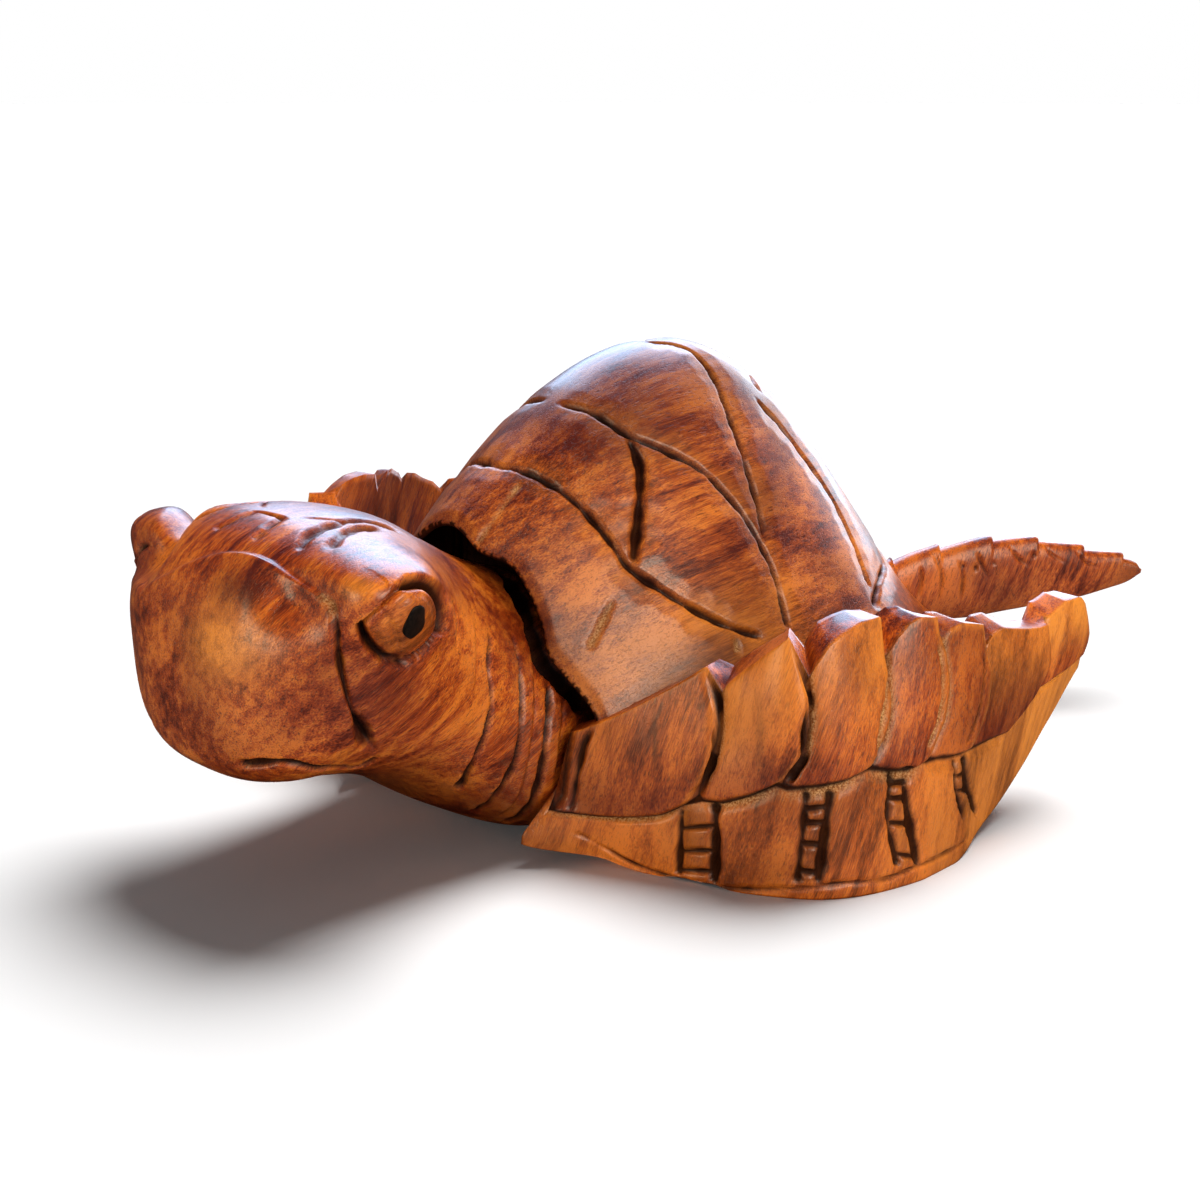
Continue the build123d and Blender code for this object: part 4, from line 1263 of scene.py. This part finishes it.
def feather_marks(number, across, height, below, length):
    """The stain and painted shade, bared wood, wear and painted sheen, and darker red on the second
    row and on the feather.
    """
    even = 0 * below + 0 * across
    rub_and_sheen = hump(height, 1.0, 0.04) * 0.6 + 0.6 * hump((1 - across) * length, 0.0, 1.2)
    # Painted sheen: each feather's upper part is lightened to gold
    sheen = FEATHER_SHEEN[number] * ease(height, 0.0, 0.9) * (1 - 0.4 * hump(across, 0.5, 0.18))
    red = FEATHER_RED[number] * (1 - ease(height, 0.0, 0.8)) * (1 - 0.6 * across)
    bared_side = 0.8 * hump(across * length, 1.0, 0.6) * ease(height, 0.02, 0.3)
    parts = {
        # Painted shade in the cut colour along the feather's foot and its sunk left edge
        "cut": (0.75 * hump(below, 1.0, 0.02) + 0 * across,
                0.8 * hump(height * 30, 0.0, 0.9) + 0.7 * hump(across * length, 0.0, 0.8)),
        "pale": (ease(below, 0.88, 0.97) * np.sin(np.pi * (0.1 + 0.8 * across)) * (number < 4),
                 bared_side * (1 <= number <= 4)),
        "wear_and_sheen": (LOWER_TAN[number] + even, np.maximum(rub_and_sheen, sheen)),
        "shade": (0.08 + even, red)}
    return {label: np.concatenate(pair, axis=1) for label, pair in parts.items()}


def feather_back(wall, outer, number, rise):
    """The crest, straight across the top, and the inner wall down from it: the outer wall moved
    in by a thickness that shrinks evenly from foot to crest."""
    along = np.linspace(0, 1, len(wall))
    steps = np.linspace(1, 0, 30)[None, :]
    ups = (wall[:, -1, 1] + 0.09 * (1 - along) ** 1.3 * (number > 0))[:, None] * steps
    place, outward = blade_wall(wall[:, -1, 0][:, None] + 0 * steps, ups, rise)
    thick = FOOT_THICKNESS + (CREST_THICKNESS - FOOT_THICKNESS) * np.clip(ups, 0, 1)
    inner = place - thick[..., None] * outward
    share = np.linspace(0, 1, 9)[None, 1:-1, None]
    crest = outer[:, -1:, :] * (1 - share) + inner[:, :1, :] * share
    return np.concatenate([crest, inner], axis=1)


# %% The whole blade
def front_flipper(rise):
    """Rings along the blade. Every feather is its own run of rings: outer wall up, crest across,
    inner wall down. The jump between two feathers' rings makes the step and the notch."""
    grids, marks = [], []
    for number in range(len(FEATHER_EDGES)):
        wall, length = feather_wall(number)
        spread = (np.linspace(0, 1, len(wall))[:, None], np.linspace(0, 1, UPPER_ROWS)[None, :],
                  np.linspace(0, 1, LOWER_ROWS)[None, :], length)
        place, outward = blade_wall(wall[..., 0], wall[..., 1], rise)
        if number == 0:
            # The lower row reaches forward under the neck
            reach = (1 - ease(spread[0], 0.0, 0.4)) * (1 - ease(wall[..., 1], 0.05, 0.34))
            place = place + reach[..., None] * [-3.0, -7.0, 0.0]
        outer = place + feather_relief(*spread)[..., None] * outward
        back = feather_back(wall, outer, number, rise)
        grids.append(np.concatenate([outer, back], axis=1))
        plain = np.zeros(back.shape[:2])
        marks.append({label: np.concatenate([values, plain], axis=1)
                      for label, values in feather_marks(number, *spread).items()})
    return np.concatenate(grids), {label: np.concatenate([part[label] for part in marks])
                                   for label in marks[0]}


# %% Ladders
def ladder_cuts():
    """The upright pairs of grooves in the second row, with the chips between them."""
    cuts = [(RIM_LINE, 1.2, 0.8, 2.0)]
    for left, right, rungs in LADDERS:
        cuts += [(left, 1.9, 1.3, 0.8), (right, 2.6, 1.7, 0.8)]
        for number, rung in enumerate(rungs):
            ends = [(np.interp(rung, [p[1] for p in side], [p[0] for p in side]), rung + tip)
                    for side, tip in ((left, 2 - number), (right, number - 1))]
            cuts.append((ends, 1.5, 1.3, 0.3))
    return cuts


def between_grooves():
    """A broad stain down the middle of each ladder, where the small blocks stand."""
    return [([((a[0] + b[0]) / 2, (a[1] + b[1]) / 2) for a, b in zip(left, right)], 7.0, 1.0, 1.0)
            for left, right, rungs in LADDERS]


# %% Front flippers
for label, side, rise in (("left", 1, 1.0), ("right", -1, RIGHT_RISE)):
    base, marks = front_flipper(rise)
    if side == 1:
        ladders, darks, pales, streaks, blocks = [
            cast_cuts(base, cuts, both_sides=False)
            for cuts in (ladder_cuts(), DARK_CHANNELS, PALE_CHANNELS, STREAKS, between_grooves())]
    normals = outward_normals(base)
    outer_places = (np.arange(base.shape[1]) < LOWER_ROWS + UPPER_ROWS)[None, :]
    sink = deepest(base, ladders + darks) * outer_places
    pale_sink = deepest(base, pales) * outer_places
    # The grooves take stain and painted shade in the cut colour
    marks["cut"] = np.maximum(marks["cut"], sink / 1.1)
    marks["pale"] = np.maximum(marks["pale"], pale_sink / 0.8)
    stains = np.clip(deepest(base, streaks) + 0.6 * deepest(base, blocks), 0, 1) * outer_places
    marks["shade"] = np.maximum(marks["shade"], stains)
    sink = np.maximum(sink, pale_sink)
    waver = hand_waver(base, 6.0, 0.12)
    carved = base + normals * (waver - sink)[..., None]
    carved[..., 2] = np.maximum(carved[..., 2], 0.0)
    piece = make_piece(f"carved_front_flipper_{label}", carved * [side, 1, 1], marks)
    finish_piece(piece, FLIPPER_WOOD, "carved_hardwood", f"front_flipper_{label}")
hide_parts("front_flipper_dowels")

# %% [markdown]
# ## The hind flippers
#
# Each hind flipper sweeps back from under the shell like a leaf on edge. Its slices are ovals that
# stand on the line from foot to crest, and shrink to a rounded tip. Its top edge is a saw of small
# scales, each rising slowly and ending in a drop, and short grooves run down from it.
# An array modifier would space the scales evenly, and these were cut by eye.

# %% Hind flipper surface
HIND_ROOT = np.array([17.0, 56.0, 19.5])
HIND_SIZE = np.array([40.5, 63.6, 20.5])
HIND_FOOT = np.array([(0.0, 0.0, 0.0), (0.18, 0.2, 0.0), (0.4, 0.4, 0.05), (0.59, 0.605, 0.12),
                      (0.77, 0.78, 0.2), (0.93, 0.93, 0.33), (1.0, 0.985, 0.5)])
HIND_CREST = np.array([(0.0, 0.0, 0.62), (0.17, 0.2, 0.86), (0.43, 0.445, 1.0), (0.63, 0.635, 0.97),
                       (0.81, 0.81, 0.83), (0.96, 0.95, 0.7), (1.0, 0.99, 0.56)])
HIND_THICKNESS = (8.0, 8.5, 8.0, 7.0, 6.0, 4.6, 1.0)
SCALE_ENDS = (0.13, 0.24, 0.36, 0.5, 0.65, 0.8)
SCALE_DROP = 1.3
HIND_FULLNESS = 0.85


def hind_grid(rings, places):
    """Rings of ovals: the middle runs between foot and crest, the height is half their distance
    and the width is the thickness there."""
    knots = np.linspace(0, 1, len(HIND_FOOT))
    at = np.linspace(0, 1, rings)
    foot = flow_places(at, knots, HIND_FOOT) * HIND_SIZE
    crest = flow_places(at, knots, HIND_CREST) * HIND_SIZE
    thick = flow(at, knots, np.array(HIND_THICKNESS))[:, None, None] / 2
    angle = np.linspace(0, 2 * np.pi, places, endpoint=False)[None, :, None]
    cosine, sine = superoval(angle, HIND_FULLNESS)
    # Overlapping scales along the top: each one rises slowly and ends in a small drop
    ends = np.array(SCALE_ENDS)
    number = np.searchsorted(ends, at, side="right")
    start = np.concatenate([[0.0], ends])[number]
    finish = np.concatenate([ends, [1.0]])[number]
    rise = ((at - start) / (finish - start))[:, None, None] ** 1.5
    rise = rise * ease(1 - at, 0.0, 0.1)[:, None, None]
    upper_edge = np.clip(np.sin(angle), 0, 1) ** 2
    crest_lift = SCALE_DROP * (rise - 0.7) * upper_edge * np.array([0.3, 0, 1.0])
    side = np.array([0.83, -0.55, 0.1])
    middle = (HIND_ROOT + (foot + crest) / 2)[:, None, :] - side * thick
    return middle + ((crest - foot) / 2)[:, None, :] * sine + side * thick * cosine + crest_lift


# %% Hind flipper cuts, as pixels along each line
HIND_DOTS = [([(961, 565), (966, 567)], 1.8, 0.7, 0.5), ([(974, 567), (979, 569)], 1.8, 0.7, 0.5),
             ([(991, 562), (996, 564)], 1.6, 0.6, 0.5), ([(1032, 554), (1037, 556)], 1.6, 0.6, 0.5)]
HIND_CUTS = [(line, 1.1, 0.6, 2.5) for line in (
    [(916, 556), (922, 575), (918, 600)], [(934, 553), (942, 575), (938, 603)],
    [(953, 551), (963, 572), (960, 602)], [(971, 543), (981, 562), (990, 580)],
    [(1009, 545), (1018, 558), (1030, 566)], [(1041, 543), (1052, 555), (1064, 562)],
    [(1076, 552), (1086, 562), (1098, 568)])]

# %% Hind flippers
base = hind_grid(rings=260, places=110)
normals = outward_normals(base)
sink = deepest(base, cast_cuts(base, HIND_CUTS + HIND_DOTS, both_sides=False))
waver = hand_waver(base, 5.0, 0.15)
carved = base + normals * (waver - sink)[..., None]
for label, side in (("left", 1), ("right", -1)):
    piece = make_piece(f"carved_hind_flipper_{label}", carved * [side, 1, 1], {
        "cut": sink / 1.2, "pale": 0 * sink, "wear_and_sheen": 0 * sink, "shade": 0 * sink})
    finish_piece(piece, FLIPPER_WOOD, "carved_hardwood", f"hind_flipper_{label}")
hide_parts("hind_flipper_dowels")

# %% [markdown]
# ## The belly and tail
#
# The belly is a low block with rounded edges, cut flat so that the turtle stands still. It is
# hardly seen, but it carries the shell, so it gets the same wood. A bevelled cube would do for the
# eye, and this outline follows the CAD model's. The short tail is a guess.

# %% Belly and tail surfaces
BELLY_HALF_WIDTH = 49.0
BELLY_REAR = 70.0
TAIL_ROOT = 60.0
TAIL_TIP = 94.0
TAIL_HEIGHT = 9.5
BELLY_X_SHARES = np.array([0.93, 0.98, 1.0, 0.98, 0.92, 0.8, 0.62, 0.38, 0.0])
BELLY_Y_SHARES = np.array([0.0, 0.15, 0.32, 0.5, 0.65, 0.8, 0.91, 0.98, 1.0])


def belly_grid():
    """Rings from the base up: an outline with a straight front and a round rear, which is drawn in
    towards the base and rounded over at its edge."""
    levels = np.concatenate([[0.0, 0.0], np.linspace(0.0, 1.0, 26)])
    inset = flow(levels, (0.0, 0.5, 1.0), (8.0, 3.8, 2.5))
    inset[0] += 0.8
    half = np.stack([BELLY_X_SHARES, BELLY_Y_SHARES], axis=1)
    outline = even_path(np.concatenate([half, (half * [-1, 1])[-2::-1]]), 0.012)
    width = (BELLY_HALF_WIDTH - inset)[:, None]
    run = (BELLY_REAR - inset - NECK_SEAT)[:, None]
    x = outline[None, :, 0] * width
    y = NECK_SEAT + outline[None, :, 1] * run
    z = levels[:, None] * BELLY_TOP + 0 * x
    z[1] = 0.35
    return np.stack([x, y, z], axis=-1)


def tail_grid():
    """Rings along the tail: ovals that shrink evenly to a blunt tip."""
    at = np.linspace(0, 1, 60)[:, None]
    angle = np.linspace(0, 2 * np.pi, 64, endpoint=False)[None, :]
    radius = flow(at, (0.0, 0.5, 0.85, 1.0), (6.0, 4.2, 2.8, 1.6))
    radius = radius * np.sqrt(1 - 0.96 * np.clip((at - 0.95) / 0.05, 0, 1) ** 2)
    y = TAIL_ROOT + (TAIL_TIP - TAIL_ROOT) * at + 0 * angle
    height = TAIL_HEIGHT + 0.8 * radius * np.sin(angle)
    return np.stack([radius * np.cos(angle), y, height], axis=-1)


# %% Belly and tail
for name, grid in (("carved_belly", belly_grid()), ("carved_tail", tail_grid())):
    waver = hand_waver(grid, 8.0, 0.1) * ease(grid[..., 2], 0.5, 3.0)
    carved = grid + outward_normals(grid) * waver[..., None]
    carved[..., 2] = np.clip(carved[..., 2], 0.0, BELLY_TOP)
    blank = np.zeros(grid.shape[:2])
    marks = {"cut": blank, "pale": blank, "wear_and_sheen": blank, "shade": blank + 0.2}
    piece = make_piece(name, carved, marks)
    finish_piece(piece, SHELL_WOOD, "carved_hardwood", "body")

# %% [markdown]
# ## The floor
#
# The photograph is a studio shot on white paper. The floor shows white to the camera and keeps
# the soft grey shadow. It is so wide that its far edge meets the white world without a line.
# Glossy rays see it darker, since the lacquer in the photograph reflects a dim room low down.

# %% Floor
FLOOR_HALF = 30000.0
FLOOR_GLOW = 0.03
bpy.ops.mesh.primitive_plane_add(size=2 * FLOOR_HALF * MM)
floor = bpy.context.object
floor.name = "studio_floor"
paper = bpy.data.materials.new("white_paper")
paper.use_nodes = True
tree = paper.node_tree
tree.nodes.clear()
rays = node(tree, "LightPath")
tint = blend_colour(tree, rays.outputs["Is Glossy Ray"], linear("#FCFCFC"), linear("#55463C"))
diffuse = node(tree, "BsdfDiffuse", {"Color": tint})
seen = reckon(tree, "MULTIPLY", rays.outputs["Is Camera Ray"], FLOOR_GLOW)
glow = node(tree, "Emission", {"Color": linear("#FFFFFF"), "Strength": seen})
both = node(tree, "AddShader", {0: diffuse.outputs["BSDF"], 1: glow.outputs["Emission"]})
node(tree, "OutputMaterial", {"Surface": both.outputs["Shader"]})
floor.data.materials.append(paper)

# %% [markdown]
# ## World and lamps
#
# Broad daylight comes from behind and above, and casts the shadow towards the camera. A cool soft
# box and a pale backdrop give the bluish sheen along the tops: they are seen only in the lacquer.
# A warm key from the turtle's left and a warm fill from the front light the face and the feathers.
# An HDR picture would light it in one step, but a few lamps can be placed to match each sheen.

# %% World
world = bpy.data.worlds.new("studio")
bpy.context.scene.world = world
world.use_nodes = True
tree = world.node_tree
tree.nodes.clear()
path = node(tree, "LightPath")
soft = node(tree, "Background", {"Color": (0.93, 0.97, 1.0, 1.0), "Strength": 0.09})
shine = node(tree, "Background", {"Color": (0.7, 0.8, 1.0, 1.0), "Strength": 0.1})
white = node(tree, "Background", {"Color": (1.0, 1.0, 1.0, 1.0), "Strength": 1.0})
around = node(tree, "MixShader", {0: path.outputs["Is Glossy Ray"], 1: soft.outputs["Background"],
                                  2: shine.outputs["Background"]})
choice = node(tree, "MixShader", {0: path.outputs["Is Camera Ray"], 1: around.outputs["Shader"],
                                  2: white.outputs["Background"]})
node(tree, "OutputWorld", {"Surface": choice.outputs["Shader"]})


# %% Kinds of lamp
TURTLE_MIDDLE = (0, 0, 40)


def soft_box(name, place_mm, width_mm, watts, colour, aim_mm=TURTLE_MIDDLE):
    """A square soft box that looks at a point."""
    data = bpy.data.lights.new(name, "AREA")
    data.size = width_mm * MM
    data.energy = watts
    data.color = colour
    lamp = bpy.data.objects.new(name, data)
    lamp.location = Vector(place_mm) * MM
    lamp.rotation_euler = (Vector(aim_mm) - Vector(place_mm)).to_track_quat("-Z", "Y").to_euler()
    bpy.context.scene.collection.objects.link(lamp)
    return lamp


def skylight(from_way, strength, spread_degrees):
    """Daylight through a broad opening: even over the whole floor, with soft shadows."""
    data = bpy.data.lights.new("skylight", "SUN")
    data.energy = strength
    data.angle = np.radians(spread_degrees)
    lamp = bpy.data.objects.new("skylight", data)
    lamp.rotation_euler = (-Vector(from_way)).to_track_quat("-Z", "Y").to_euler()
    lamp.visible_glossy = False
    bpy.context.scene.collection.objects.link(lamp)


# %% Lamps
skylight((-0.02, 0.42, 0.9), 3.4, 34.0)
back_sky = soft_box("back_sky", (-560, 620, 620), 760, 15.0, (0.5, 0.7, 1.0))
key_right = soft_box("key_right", (620, -170, 380), 420, 4.5, (1.0, 0.88, 0.7))
fill_front = soft_box("fill_front", (-150, -760, 210), 320, 2.2, (1.0, 0.8, 0.52), (0, -60, 40))
backdrop = soft_box("backdrop_shine", (-230, 900, 170), 560, 5.5, (0.74, 0.86, 1.0))
for lamp in (back_sky, backdrop):
    lamp.visible_diffuse = False

# The side lamps light the wood and not the paper, so that the daylight's shadow stays dark
WOOD_ONLY = bpy.data.collections.new("wood_only")
for thing in bpy.context.scene.objects:
    if thing.type == "MESH" and thing.name != floor.name:
        WOOD_ONLY.objects.link(thing)
for lamp in (key_right, fill_front):
    lamp.light_linking.receiver_collection = WOOD_ONLY

bpy.context.scene.view_settings.view_transform = "Standard"
